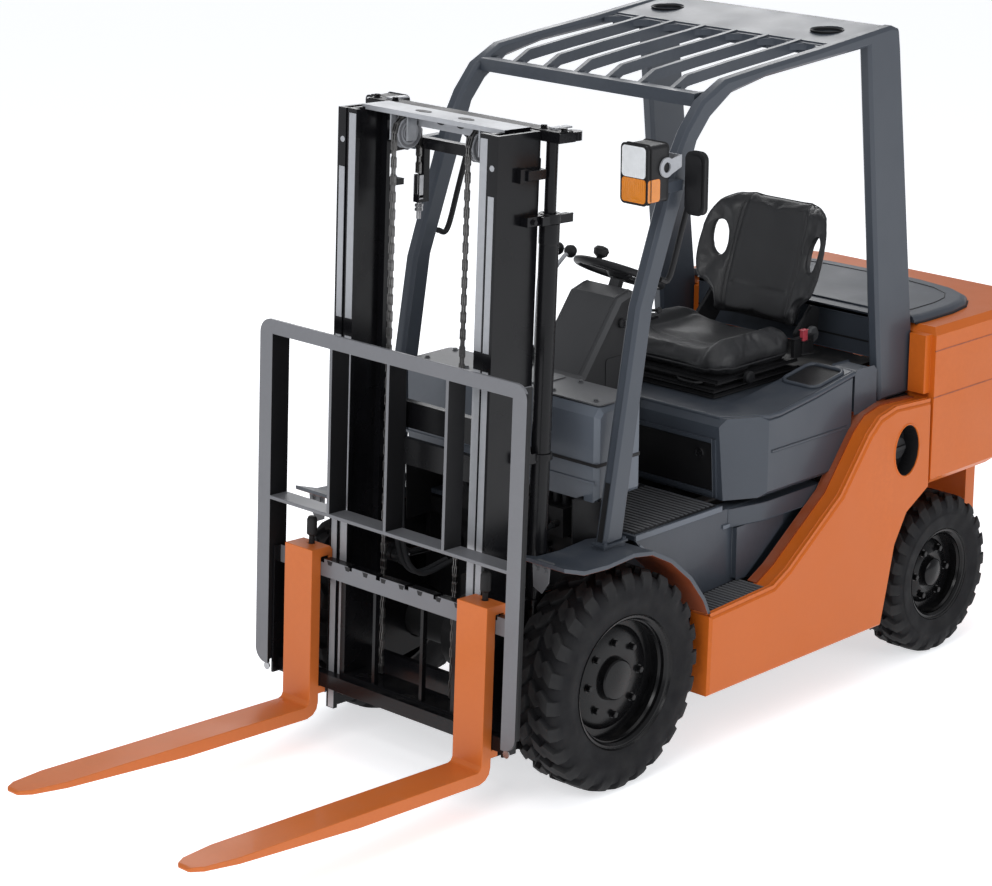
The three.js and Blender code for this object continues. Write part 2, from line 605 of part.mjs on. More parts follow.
function fork() {
  const { centreX, width, thick, bladeTop, bladeBottom, top } = FORK;
  const [x0, x1] = [centreX - width / 2, centreX + width / 2];
  const side = [[0, top], [0, bladeTop + 16], [-6, bladeTop + 5], [-18, bladeTop], [-FORK_LENGTH + 12, bladeTop],
    [-FORK_LENGTH, bladeTop - 6], [-FORK_LENGTH + 4, bladeTop - 13], [-480, bladeBottom], [-6, bladeBottom],
    [18, bladeBottom + 8], [33, bladeBottom + 24], [thick, bladeBottom + 46], [thick, top]];
  const plan = [[x0, 120], [x0, -FORK_LENGTH + 150], [x0 + 16, -FORK_LENGTH + 40], [x0 + 34, -FORK_LENGTH + 8],
    [x0 + 46, -FORK_LENGTH], [x1 - 46, -FORK_LENGTH], [x1 - 34, -FORK_LENGTH + 8], [x1 - 16, -FORK_LENGTH + 40],
    [x1, -FORK_LENGTH + 150], [x1, 120]];
  const blade = meet(prism('X', side, x0, x1), prism('Z', plan, 0, 800));
  const hook = [[thick - 5, 606], [71, 606], [71, 586], [85, 586], [85, 622], [76, top], [thick - 5, top]];
  const upperHook = prism('X', hook, x0, x1);
  const lowerHook = box(x0, x1, thick - 5, 66, 172, BAR.lowerLow - 2);
  const pinHole = rod('Z', 10.5, 590, 640, [centreX, 54], 12);
  return cut(join(blade, upperHook, lowerHook), pinHole);
}

function forkPin() {
  return turned('Z', [[0, 0], [9, 0], [9, 54], [16, 58], [16, 104], [11, 114], [0, 114]], 12);
}

// ---------------------------------------------------------------- tilt cylinders
const [LUG_Y, LUG_Z] = fromMast(TILT_LUG.y, TILT_LUG.z);
const TILT_SPAN = Math.hypot(LUG_Y - TILT_REAR.y, LUG_Z - TILT_REAR.z);
const TILT_ANGLE = -Math.asin((LUG_Z - TILT_REAR.z) / TILT_SPAN);

function tiltBarrel() {
  const eye = rod('X', 32, -13, 13, [0, 0], 16);
  const tube = rod('Y', 30, -560, -24, [0, 0], 16);
  const bore = rod('Y', 17, -570, -120, [0, 0], 14);
  return cut(join(eye, tube), rod('X', 18, -20, 20, [0, 0], 16), bore);
}

function tiltRod() {
  const eye = rod('X', 30, -13, 13, [-TILT_SPAN, 0], 16);
  const stem = rod('Y', 14, -TILT_SPAN + 24, -300, [0, 0], 14);
  return cut(join(eye, stem), rod('X', 19, -20, 20, [-TILT_SPAN, 0], 16));
}

// ---------------------------------------------------------------- wheels and steer axle
function tyre({ radius, width, rim }, sides) {
  const h = width / 2;
  const wall = radius - rim;
  const bead = rim + 0.4;
  const half = [[bead, h - 16], [rim + wall * 0.35, h - 3], [radius - wall * 0.3, h], [radius - 9, h - 14],
    [radius, h - 34]];
  const other = half.map(([r, x]) => [r, -x]);
  return turned('X', [...other, ...half.reverse(), other[0]], sides);
}

function rimOf({ width, rim }, bore, hub, disc, sides) {
  const h = width / 2 - 6;
  const inner = rim - 12;
  const barrel = [[rim, -h], [rim, h], [inner, h], [inner, disc + 20]];
  const boss = [[hub, disc + 14], [hub, disc + 34], [bore, disc + 34], [bore, disc - 14], [hub, disc - 14]];
  return turned('X', [...barrel, ...boss, [hub, disc], [inner, disc], [inner, -h], [rim, -h]], sides);
}

function steerAxle() {
  const z = REAR_TYRE.radius;
  const beam = box(-150, 150, REAR_AXLE - 70, REAR_AXLE + 66, z - 55, z + 55);
  const arms = box(-376, 376, REAR_AXLE - 25, REAR_AXLE + 25, z - 50, z + 50);
  const pins = rod('Y', 21, 1950, 2174, [0, z], 14);
  const yoke = join(box(362, 378, REAR_AXLE - 25, REAR_AXLE + 25, z - 98, z + 98),
    box(362, 444, REAR_AXLE - 25, REAR_AXLE + 25, z + 78, z + 98),
    box(362, 444, REAR_AXLE - 25, REAR_AXLE + 25, z - 98, z - 78));
  const kingpinBore = rod('Z', 19, z - 120, z + 120, [KINGPIN_X, REAR_AXLE], 14);
  return join(beam, arms, pins, bothSides(cut(yoke, kingpinBore)));
}

function knuckle() {
  const pin = rod('Z', 17, -97, 97, [0, 0], 14);
  const body = rod('Z', 30, -77, 77, [0, 0], 14);
  const spindle = rod('X', 30, 5, 96, [0, 0], 14);
  return join(pin, body, spindle);
}

// ---------------------------------------------------------------- lamps, mirror, caps
function headlamp() {
  const face = [[-52, -8], [-44, -16], [38, -16], [46, -8], [46, 140], [34, 152], [-40, 152], [-52, 140]];
  const body = prism('Y', face, -121, -28, 8);
  const lug = cut(box(-20, 4, -36, 14, -14, 14), rod('X', 8, -30, 10, [0, 0], 10));
  return join(body, lug);
}

function mirrorHead() {
  const face = [[14, -70], [34, -88], [78, -88], [92, -74], [92, 80], [76, 96], [30, 96], [14, 78]];
  return prism('Y', face, -11, 11, 5);
}

function fuelCap() {
  return join(rod('X', 36, 0, 26, [0, 0], 16), box(20, 32, -30, 30, -7, 7));
}

// ---------------------------------------------------------------- assembly: chassis
place(truck, 'chassis_frame', chassisFrame(), IRON);
place(truck, 'drive_axle', driveAxle(), IRON);
place(truck, 'engine', engine(), IRON);
place(truck, 'radiator', radiator(), IRON);
place(truck, 'fuel_tank', fuelTank(), IRON);
place(truck, 'side_panel_left', sidePanel(true), ORANGE);
place(truck, 'side_panel_right', mirrored(sidePanel(false)), ORANGE);
place(truck, 'fuel_cap', fuelCap(), PLASTIC, [512.4, ...FILLER.centre]);
place(truck, 'counterweight', counterweight(), ORANGE);
place(truck, 'radiator_cover', radiatorCover(), DARK_GREY);
place(truck, 'floor_plate', floorPlate(), IRON);
place(truck, 'front_cowl', frontCowl(), COWL_GREY);
placePair(truck, 'fender', fender(), DARK_GREY);
place(truck, 'guard_side_left', guardSide(true), DARK_GREY);
place(truck, 'guard_side_right', mirrored(guardSide(false)), DARK_GREY);
place(truck, 'guard_roof', guardRoof(), DARK_GREY);
place(truck, 'steering_column', steeringColumn(), PLASTIC);

// ---------------------------------------------------------------- assembly: operator's controls
place(truck, 'steering_wheel', steeringWheel(), PLASTIC, [0, STEERING.y, STEERING.z], -WHEEL_TILT);
const knobReach = STEERING.radius - 38;
place(truck, 'spinner_knob', spinnerKnob(), PLASTIC, [
  0,
  STEERING.y - knobReach * Math.cos(WHEEL_TILT) + 5.4 * Math.sin(WHEEL_TILT),
  STEERING.z + knobReach * Math.sin(WHEEL_TILT) + 5.4 * Math.cos(WHEEL_TILT),
], -WHEEL_TILT);
place(truck, 'lift_lever', hydraulicLever(), PLASTIC, [-215, 950, 1089]);
place(truck, 'tilt_lever', hydraulicLever(), PLASTIC, [-270, 950, 1089]);
place(truck, 'direction_lever', directionLever(), PLASTIC, [0, 1000, 1290]);
place(truck, 'accelerator_pedal', acceleratorPedal(), PLASTIC, [-160, 828, FLOOR_TOP + 4]);
place(truck, 'brake_pedal', brakePedal(), PLASTIC, [150, 724, 1000]);
place(truck, 'engine_hood', engineHood(), DARK_GREY);
place(truck, 'seat_cushion', seatCushion(), VINYL);
place(truck, 'seat_backrest', seatBackrest(), VINYL);
placePair(truck, 'headlamp', headlamp(), LAMP, [524, LAMP_PIVOT.y, LAMP_PIVOT.z]);
place(truck, 'mirror', mirrorHead(), PLASTIC, [480, 762, 1785]);

// ---------------------------------------------------------------- assembly: mast and load handling
place(mast, 'outer_mast', outerMast(), MAST_BLACK);
placePair(mast, 'lift_cylinder', liftCylinder(), MAST_BLACK, [LIFT.x, LIFT.y, 0]);
place(mast, 'inner_mast', innerMast(), MAST_BLACK);
placePair(mast, 'chain', chain(), IRON);
placePair(mast, 'chain_sheave', chainSheave(), IRON, [CHAIN.x, CHAIN.sheaveY, CHAIN.sheaveZ]);
place(mast, 'fork_carriage', forkCarriage(), MAST_BLACK);
place(mast, 'load_backrest', loadBackrest(), BAR_GREY);
placePair(mast, 'fork', fork(), FORK_ORANGE);
placePair(mast, 'fork_pin', forkPin(), CHROME, [FORK.centreX, 54, BAR.upperTop + 0.6]);
placePair(truck, 'tilt_cylinder', tiltBarrel(), MAST_BLACK, [TILT_X, TILT_REAR.y, TILT_REAR.z], TILT_ANGLE);
placePair(truck, 'tilt_rod', tiltRod(), CHROME, [TILT_X, TILT_REAR.y, TILT_REAR.z], TILT_ANGLE);

// ---------------------------------------------------------------- assembly: running gear
const frontHub = [FRONT_TYRE.centreX, FRONT_AXLE, FRONT_TYRE.radius];
const rearHub = [REAR_TYRE.centreX, REAR_AXLE, REAR_TYRE.radius];
placePair(truck, 'front_rim', rimOf(FRONT_TYRE, 44, 78, 16, 24), PLASTIC, frontHub);
placePair(truck, 'front_tyre', tyre(FRONT_TYRE, 24), RUBBER, frontHub);
place(truck, 'steer_axle', steerAxle(), IRON);
placePair(truck, 'knuckle', knuckle(), IRON, [KINGPIN_X, REAR_AXLE, REAR_TYRE.radius]);
placePair(truck, 'rear_rim', rimOf(REAR_TYRE, 33, 60, 14, 20), PLASTIC, rearHub);
placePair(truck, 'rear_tyre', tyre(REAR_TYRE, 20), RUBBER, rearHub);

export default truck;
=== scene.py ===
# Looks of a 2.5 t counterbalance forklift truck. Shapes are drawn in millimetres at truck stations: Y counts
# rearwards from the front face of the forks. The mast's pieces are drawn upright and leaned back by MAST.
import json
import math
import bmesh
import bpy
from mathutils import Matrix, Vector
from mathutils.bvhtree import BVHTree

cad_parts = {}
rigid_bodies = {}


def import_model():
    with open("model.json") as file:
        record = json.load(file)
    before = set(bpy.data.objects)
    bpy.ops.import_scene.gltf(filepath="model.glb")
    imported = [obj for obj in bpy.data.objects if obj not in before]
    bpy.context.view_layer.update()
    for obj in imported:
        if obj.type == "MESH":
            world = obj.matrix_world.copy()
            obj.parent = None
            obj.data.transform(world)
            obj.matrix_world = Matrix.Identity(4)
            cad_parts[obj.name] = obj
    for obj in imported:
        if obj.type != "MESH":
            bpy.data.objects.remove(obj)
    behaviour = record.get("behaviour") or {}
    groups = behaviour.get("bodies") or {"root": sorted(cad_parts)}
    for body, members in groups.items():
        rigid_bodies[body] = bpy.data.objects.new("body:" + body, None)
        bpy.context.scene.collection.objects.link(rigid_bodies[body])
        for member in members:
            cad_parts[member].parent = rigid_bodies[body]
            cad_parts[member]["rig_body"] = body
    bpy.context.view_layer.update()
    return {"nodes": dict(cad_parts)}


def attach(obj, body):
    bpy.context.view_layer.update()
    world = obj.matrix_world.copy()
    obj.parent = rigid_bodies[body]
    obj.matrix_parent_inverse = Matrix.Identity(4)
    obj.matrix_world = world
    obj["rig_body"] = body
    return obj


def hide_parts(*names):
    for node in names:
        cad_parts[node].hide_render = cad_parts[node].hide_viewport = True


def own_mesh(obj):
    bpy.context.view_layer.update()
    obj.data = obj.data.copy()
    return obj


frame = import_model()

MM = 0.001
STATION_ZERO = 754.7                  # station of the row frame's Y = 0
MAST_LEAN = math.radians(2.4)
WHEEL_TILT = math.radians(25)
TRUCK = Matrix.Diagonal((MM, MM, MM, 1)) @ Matrix.Translation((0, -STATION_ZERO, 0))
MAST_PIVOT = Matrix.Translation((0, 420, 300))
MAST = TRUCK @ MAST_PIVOT @ Matrix.Rotation(-MAST_LEAN, 4, "X") @ MAST_PIVOT.inverted()


# ------------------------------------------------------------------ camera, lights, floor
def camera():
    azimuth, pitch, roll = math.radians(41.81), math.radians(15.68), math.radians(0.79)
    forward = Vector((-math.sin(azimuth) * math.cos(pitch), math.cos(azimuth) * math.cos(pitch),
                      -math.sin(pitch)))
    level = Vector((math.cos(azimuth), math.sin(azimuth), 0))
    upright = level.cross(forward)
    right = level * math.cos(roll) + upright * math.sin(roll)
    up = upright * math.cos(roll) - level * math.sin(roll)
    data = bpy.data.cameras.new("camera")
    data.sensor_width = 36
    data.lens = 109.06
    data.shift_x = -0.1013
    data.shift_y = -0.0598
    data.clip_end = 1500
    eye = bpy.data.objects.new("camera", data)
    axes = Matrix((right, up, -forward)).transposed().to_4x4()
    eye.matrix_world = Matrix.Translation((6.0056, -6.5284, 3.5744)) @ axes
    bpy.context.scene.collection.objects.link(eye)
    bpy.context.scene.camera = eye


def area_light(name, place, target, size, power):
    data = bpy.data.lights.new(name, "AREA")
    data.shape = "RECTANGLE"
    data.size, data.size_y = size
    data.energy = power
    lamp = bpy.data.objects.new(name, data)
    lamp.location = place
    lamp.rotation_euler = (Vector(target) - Vector(place)).to_track_quat("-Z", "Y").to_euler()
    bpy.context.scene.collection.objects.link(lamp)


def studio():
    world = bpy.data.worlds.new("studio")
    world.use_nodes = True
    world.node_tree.nodes["Background"].inputs[0].default_value = (0.93, 0.95, 1.0, 1)
    world.node_tree.nodes["Background"].inputs[1].default_value = 0.42
    bpy.context.scene.world = world
    area_light("key", (2.5, -7.0, 6.0), (0, -0.4, 0.8), (4.0, 3.0), 235)
    area_light("fill", (8.0, 1.5, 3.6), (0.2, 0.3, 0.9), (5.0, 3.0), 120)
    area_light("top", (0.0, 0.0, 7.0), (0, 0, 0), (6.0, 6.0), 120)
    area_light("rim", (-5.0, 5.0, 4.5), (0, 0.3, 1.0), (4.0, 3.0), 110)
    bpy.context.scene.view_settings.view_transform = "Standard"
    floor_mesh = bpy.data.meshes.new("floor")
    s = 400
    floor_mesh.from_pydata([(-s, -s, 0), (s, -s, 0), (s, s, 0), (-s, s, 0)], [], [(0, 1, 2, 3)])
    floor = bpy.data.objects.new("floor", floor_mesh)
    bpy.context.scene.collection.objects.link(floor)
    look = bpy.data.materials.new("floor")
    look.use_nodes = True
    shader = look.node_tree.nodes["Principled BSDF"].inputs
    for socket, value in (("Base Color", (0.90, 0.91, 0.92, 1)), ("Roughness", 0.75),
                          ("Emission Color", (0.97, 0.98, 1.0, 1)), ("Emission Strength", 0.62)):
        shader[socket].default_value = value
    floor_mesh.materials.append(look)


# ------------------------------------------------------------------ materials
class Look:
    """A Principled material whose colour, roughness and bump come from procedural textures."""

    def __init__(self, name, color, rough, metallic=0.0, coat=0.0, specular=0.5):
        self.material = bpy.data.materials.new(name)
        self.material.use_nodes = True
        self.nodes = self.material.node_tree.nodes
        self.links = self.material.node_tree.links
        self.shader = self.nodes["Principled BSDF"]
        self.shader.inputs["Metallic"].default_value = metallic
        self.shader.inputs["Coat Weight"].default_value = coat
        self.shader.inputs["Coat Roughness"].default_value = 0.12
        self.shader.inputs["Specular IOR Level"].default_value = specular
        self.where = self.nodes.new("ShaderNodeTexCoord").outputs["Object"]
        self.color = self.rgb(color)
        self.rough = rough
        self.height = None
        self.distance = 0.001

    def rgb(self, color):
        node = self.nodes.new("ShaderNodeRGB")
        node.outputs[0].default_value = (*color, 1)
        return node.outputs[0]

    def noise(self, scale, detail=3, stretch=None):
        node = self.nodes.new("ShaderNodeTexNoise")
        node.inputs["Scale"].default_value = scale
        node.inputs["Detail"].default_value = detail
        source = self.where
        if stretch:
            mapping = self.nodes.new("ShaderNodeMapping")
            mapping.inputs["Scale"].default_value = stretch
            self.links.new(self.where, mapping.inputs["Vector"])
            source = mapping.outputs["Vector"]
        self.links.new(source, node.inputs["Vector"])
        return node.outputs["Fac"]

    def cells(self, scale):
        node = self.nodes.new("ShaderNodeTexVoronoi")
        node.feature = "DISTANCE_TO_EDGE"
        node.inputs["Scale"].default_value = scale
        self.links.new(self.where, node.inputs["Vector"])
        return node.outputs["Distance"]

    def ramp(self, value, low, high, to_low=0.0, to_high=1.0):
        node = self.nodes.new("ShaderNodeMapRange")
        for socket, number in zip(("From Min", "From Max", "To Min", "To Max"), (low, high, to_low, to_high)):
            node.inputs[socket].default_value = number
        self.links.new(value, node.inputs["Value"])
        return node.outputs["Result"]

    def times(self, a, b):
        node = self.nodes.new("ShaderNodeMath")
        node.operation = "MULTIPLY"
        self.links.new(a, node.inputs[0])
        if isinstance(b, (int, float)):
            node.inputs[1].default_value = b
        else:
            self.links.new(b, node.inputs[1])
        return node.outputs[0]

    def mix(self, amount, color):
        node = self.nodes.new("ShaderNodeMix")
        node.data_type = "RGBA"
        self.links.new(amount, node.inputs["Factor"])
        self.links.new(self.color, node.inputs["A"])
        self.links.new(self.rgb(color), node.inputs["B"])
        self.color = node.outputs["Result"]

    def bump(self, height, strength, distance):
        node = self.nodes.new("ShaderNodeBump")
        node.inputs["Strength"].default_value = strength
        node.inputs["Distance"].default_value = distance
        self.links.new(height, node.inputs["Height"])
        if self.height is not None:
            self.links.new(self.height, node.inputs["Normal"])
        self.height = node.outputs["Normal"]

    # Mask of sharp edges, from pointiness. The materials lighten their colour there: a painted highlight
    # along edges, in paint mixed with worn edges.
    def edges(self):
        return self.ramp(self.nodes.new("ShaderNodeNewGeometry").outputs["Pointiness"], 0.515, 0.56)

    def upward(self):
        split = self.nodes.new("ShaderNodeSeparateXYZ")
        self.links.new(self.nodes.new("ShaderNodeNewGeometry").outputs["Normal"], split.inputs[0])
        return self.ramp(split.outputs["Z"], 0.6, 1.0)

    def done(self, spread=0.06, scale=5):
        self.links.new(self.color, self.shader.inputs["Base Color"])
        rough = self.ramp(self.noise(scale, 4), 0.3, 0.7, self.rough - spread, self.rough + spread)
        self.links.new(rough, self.shader.inputs["Roughness"])
        if self.height is not None:
            self.links.new(self.height, self.shader.inputs["Normal"])
        return self.material


def shade(color, factor):
    return tuple(min(1.0, c * factor) for c in color)


def paint(name, color, rough=0.34, coat=0.35, chipping_and_highlight=0.35, grime=0.25, metallic=0.0, specular=0.4):
    look = Look(name, color, rough, metallic, coat, specular)
    look.mix(look.ramp(look.noise(2.2, 5), 0.35, 0.7, 0.0, 0.4), shade(color, 0.88))
    look.mix(look.ramp(look.noise(9, 6), 0.45, 0.75, 0.0, 0.2), shade(color, 1.08))
    # Lighter colour on sharp edges where the noise allows: partly chipped paint, partly a painted highlight.
    chipped_and_lit_edges = look.times(look.edges(), look.ramp(look.noise(60, 4), 0.42, 0.6))
    look.mix(look.times(chipped_and_lit_edges, chipping_and_highlight), shade(color, 1.9))
    dust = look.times(look.upward(), look.ramp(look.noise(14, 8), 0.45, 0.75))
    look.mix(look.times(dust, grime), (0.30, 0.28, 0.25))
    look.bump(look.noise(420, 2), 0.03, 0.0004)
    look.bump(look.noise(28, 2), 0.015, 0.001)
    return look.done(0.06, 7)


def plastic(name, color, rough=0.5, grain=900, coat=0.0):
    look = Look(name, color, rough, 0.0, coat, 0.3)
    look.mix(look.ramp(look.noise(6, 5), 0.4, 0.7, 0.0, 0.3), shade(color, 1.25))
    # Lighter colour on sharp edges: a painted highlight.
    look.mix(look.times(look.edges(), 0.3), shade(color, 2.0))
    look.bump(look.ramp(look.cells(grain), 0.0, 0.3), 0.22, 0.0003)
    return look.done(0.08, 9)


def vinyl(name, color, rough=0.46):
    look = Look(name, color, rough, 0.0, 0.08)
    look.mix(look.ramp(look.noise(7, 6), 0.4, 0.7, 0.0, 0.5), shade(color, 1.3))
    # Lighter colour on sharp edges: a painted highlight.
    look.mix(look.times(look.edges(), 0.3), shade(color, 2.0))
    look.bump(look.ramp(look.cells(420), 0.0, 0.22), 0.35, 0.0004)
    look.bump(look.noise(45, 4), 0.15, 0.0012)
    return look.done(0.07, 12)


def rubber(name, color=(0.009, 0.009, 0.0105)):
    look = Look(name, color, 0.74, 0.0, 0.0, 0.18)
    look.mix(look.ramp(look.noise(16, 7), 0.4, 0.7, 0.0, 0.5), (0.017, 0.017, 0.017))
    # Lighter colour on sharp edges: a painted highlight.
    look.mix(look.times(look.edges(), 0.45), (0.038, 0.038, 0.038))
    look.bump(look.noise(260, 4), 0.3, 0.0006)
    return look.done(0.1, 18)


def steel(name, color=(0.55, 0.55, 0.57), rough=0.26, stretch=(1, 1, 60)):
    look = Look(name, color, rough, 1.0)
    look.mix(look.ramp(look.noise(30, 4, stretch), 0.3, 0.7, 0.0, 0.6), shade(color, 0.7))
    look.bump(look.noise(240, 3, stretch), 0.12, 0.0003)
    return look.done(0.08, 30)


def lens(name, color, rough=0.12, glow=0.0):
    look = Look(name, color, rough, 0.0, 0.6)
    look.shader.inputs["Transmission Weight"].default_value = 0.25
    look.shader.inputs["IOR"].default_value = 1.49
    look.mix(look.ramp(look.noise(40, 3), 0.4, 0.7, 0.0, 0.4), shade(color, 0.75))
    flutes = look.nodes.new("ShaderNodeTexWave")
    flutes.inputs["Scale"].default_value = 42
    look.links.new(look.where, flutes.inputs["Vector"])
    look.bump(flutes.outputs["Fac"], 0.4, 0.001)
    if glow:
        look.shader.inputs["Emission Color"].default_value = (*color, 1)
        look.shader.inputs["Emission Strength"].default_value = glow
    return look.done(0.04, 20)


ORANGE = paint("orange paint", (0.56, 0.122, 0.012), 0.38, 0.08, 0.06, 0.05, 0.0, 0.25)
# A darker copy of the orange paint, a painted shade: it colours the inboard panel flanges, the counterweight
# crease grooves and the fender undersides.
ORANGE_SHADE = paint("orange shade paint", (0.26, 0.055, 0.016), 0.5, 0.1)
FORK_PAINT = paint("fork paint", (0.60, 0.150, 0.030), 0.40, 0.08, 0.05, 0.06, 0.0, 0.25)
GREY = paint("grey paint", (0.046, 0.055, 0.070), 0.42, 0.12, 0.07, 0.06)
COWL = paint("cowl paint", (0.112, 0.130, 0.158), 0.38, 0.15, 0.03, 0.05)
WARM_GREY = paint("warm grey paint", (0.105, 0.108, 0.115), 0.45, 0.0, 0.05, 0.06)
BLACK_GLOSS = paint("mast paint", (0.005, 0.005, 0.006), 0.24, 0.0, 0.15, 0.04, 0.0, 0.22)
STRIP = paint("mast strip", (0.36, 0.37, 0.39), 0.40, 0.0, 0.08, 0.06, 0.2, 0.3)
BACKREST = paint("backrest paint", (0.160, 0.163, 0.175), 0.4, 0.12, 0.05, 0.06, 0.15)
BLACK_STEEL = paint("black steel", (0.010, 0.010, 0.011), 0.5, 0.0, 0.2, 0.15, 0.0, 0.2)
CAST = paint("cast iron", (0.022, 0.022, 0.023), 0.62, 0.0, 0.3, 0.2, 0.2, 0.25)
RIM_PAINT = paint("rim paint", (0.0045, 0.0045, 0.005), 0.24, 0.0, 0.08, 0.05, 0.0, 0.24)
TYRE = rubber("tyre rubber")
MAT = rubber("mat rubber", (0.020, 0.022, 0.026))
VINYL = vinyl("seat vinyl", (0.018, 0.0185, 0.020))
PIPING = vinyl("seat piping", (0.010, 0.0105, 0.012), 0.5)
PLASTIC = plastic("black plastic", (0.009, 0.009, 0.010), 0.48)
GREY_PLASTIC = plastic("grey plastic", (0.060, 0.061, 0.064), 0.46)
CHROME = steel("bright steel", (0.72, 0.72, 0.74), 0.14)
CHAIN = steel("chain steel", (0.22, 0.215, 0.21), 0.36, (1, 1, 8))
BOLT = steel("bolt steel", (0.42, 0.42, 0.43), 0.34, (1, 1, 1))
CLEAR = lens("lamp glass", (0.86, 0.88, 0.90), 0.08, 0.10)
AMBER = lens("amber glass", (0.85, 0.27, 0.02), 0.12, 0.06)
RED = plastic("red plastic", (0.42, 0.05, 0.07), 0.4, 900, 0.1)
MIRROR = steel("mirror glass", (0.85, 0.87, 0.90), 0.05, (1, 1, 1))


# ------------------------------------------------------------------ mesh tools, in millimetres
def link(name, mesh):
    piece = bpy.data.objects.new(name, mesh)
    bpy.context.scene.collection.objects.link(piece)
    return piece


def soften(bm, width, segments=2, angle=28):
    """Rounds every edge sharper than angle."""
    bmesh.ops.remove_doubles(bm, verts=bm.verts, dist=0.01)
    bmesh.ops.dissolve_limit(bm, angle_limit=math.radians(0.6), verts=bm.verts, edges=bm.edges)
    sharp = [e for e in bm.edges if len(e.link_faces) == 2 and e.calc_face_angle(0) > math.radians(angle)]
    bmesh.ops.bevel(bm, geom=sharp, offset=width, segments=segments, profile=0.5, affect="EDGES",
                    clamp_overlap=True, harden_normals=False)


def piece(name, bm, materials, body, place=TRUCK, replaces=(), smooth=38, weighted=True):
    """Turns a bmesh drawn in millimetres into a piece that rides on a CAD body."""
    bmesh.ops.recalc_face_normals(bm, faces=bm.faces)
    for edge in bm.edges:
        edge.smooth = len(edge.link_faces) == 2 and edge.calc_face_angle(0) < math.radians(smooth)
    for face in bm.faces:
        face.smooth = True
    bm.transform(place)
    mesh = bpy.data.meshes.new(name)
    bm.to_mesh(mesh)
    bm.free()
    materials = materials if isinstance(materials, (list, tuple)) else [materials]
    for material in materials:
        mesh.materials.append(material)
    made = link(name, mesh)
    if weighted:
        made.modifiers.new("even normals", "WEIGHTED_NORMAL").keep_sharp = True
    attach(made, body)
    if replaces:
        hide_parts(*([replaces] if isinstance(replaces, str) else replaces))
    return made


def closed(n):
    """Faces of a prism whose two outlines of n corners come one after the other."""
    sides = [[i, (i + 1) % n, n + (i + 1) % n, n + i] for i in range(n)]
    return [list(range(n)), list(range(2 * n - 1, n - 1, -1))] + sides


def solid(bm, corners):
    """A prism from the corners of its two outlines."""
    verts = [bm.verts.new(c) for c in corners]
    for face in closed(len(corners) // 2):
        bm.faces.new([verts[i] for i in face])


TURN = {"X": lambda u, v, t: (t, u, v), "Y": lambda u, v, t: (u, t, v), "Z": lambda u, v, t: (u, v, t)}


def prism(bm, axis, outline, a, b):
    """A flat outline pushed along an axis: (y, z) along X, (x, z) along Y, (x, y) along Z."""
    solid(bm, [TURN[axis](u, v, t) for t in (a, b) for u, v in outline])


def box(bm, x0, x1, y0, y1, z0, z1):
    prism(bm, "Z", [(x0, y0), (x1, y0), (x1, y1), (x0, y1)], z0, z1)


def boxes(*rows):
    """A drawing function for plain boxes."""
    return lambda bm: [box(bm, *row) for row in rows]


def lathe(bm, axis, profile, centre, steps, ring=True):
    """Turns (radius, height) points about an axis through centre, as a ring or with both ends closed."""
    rings = []
    for k in range(steps):
        a = 2 * math.pi * k / steps
        row = []
        for r, h in profile:
            c, s = r * math.cos(a), r * math.sin(a)
            offset = {"X": (h, c, s), "Y": (c, h, s), "Z": (c, s, h)}[axis]
            row.append(bm.verts.new([centre[i] + offset[i] for i in range(3)]))
        rings.append(row)
    n = len(profile)
    for k in range(steps):
        here, there = rings[k], rings[(k + 1) % steps]
        for i in range(n if ring else n - 1):
            j = (i + 1) % n
            bm.faces.new([here[i], here[j], there[j], there[i]])
    if not ring:
        for i in (0, n - 1):
            bm.faces.new([row[i] for row in rings])


def smooth_path(points, steps=8):
    """Catmull-Rom points through the given ones."""
    points = [Vector(p) for p in points]
    line = [points[0] * 2 - points[1]] + points + [points[-1] * 2 - points[-2]]
    out = []
    for i in range(1, len(line) - 2):
        p0, p1, p2, p3 = line[i - 1:i + 3]
        for k in range(steps):
            t = k / steps
            out.append(0.5 * (2 * p1 + (p2 - p0) * t + (2 * p0 - 5 * p1 + 4 * p2 - p3) * t * t
                              + (3 * p1 - p0 - 3 * p2 + p3) * t ** 3))
    return out + [points[-1]]


def tube(bm, points, radius, sides, steps=8, loop=False):
    """A round bar along a smooth path."""
    path = smooth_path(points, steps) if steps > 1 else [Vector(p) for p in points]
    count = len(path)
    rings = []
    normal = None
    for i, p in enumerate(path):
        ahead = path[(i + 1) % count] if loop or i < count - 1 else p
        behind = path[i - 1] if loop or i > 0 else p
        along = (ahead - behind).normalized()
        if normal is None:
            normal = along.orthogonal().normalized()
        normal = (normal - along * normal.dot(along)).normalized()
        side = along.cross(normal)
        rings.append([bm.verts.new(p + normal * math.cos(a) * radius + side * math.sin(a) * radius)
                      for a in (2 * math.pi * k / sides for k in range(sides))])
    for i in range(count if loop else count - 1):
        here, there = rings[i], rings[(i + 1) % count]
        for k in range(sides):
            j = (k + 1) % sides
            bm.faces.new([here[k], here[j], there[j], there[k]])
    if not loop:
        bm.faces.new(list(reversed(rings[0])))
        bm.faces.new(rings[-1])


def bolt(bm, place, normal, size, height):
    """A hexagon bolt head on a washer, standing out along normal."""
    normal = Vector(normal).normalized()
    spin = normal.to_track_quat("Z", "Y").to_matrix().to_4x4()
    where = Matrix.Translation(place) @ spin
    washer, top = 1.6, 1.6 + height
    for radius, sides, z0, z1 in ((size * 1.35, 16, 0, washer), (size, 6, washer, top),
                                  (size * 0.8, 6, top, 2.6 + height)):
        turns = [2 * math.pi * k / sides for k in range(sides)]
        solid(bm, [where @ Vector((radius * math.cos(a), radius * math.sin(a), z))
                   for z in (z0, z1) for a in turns])


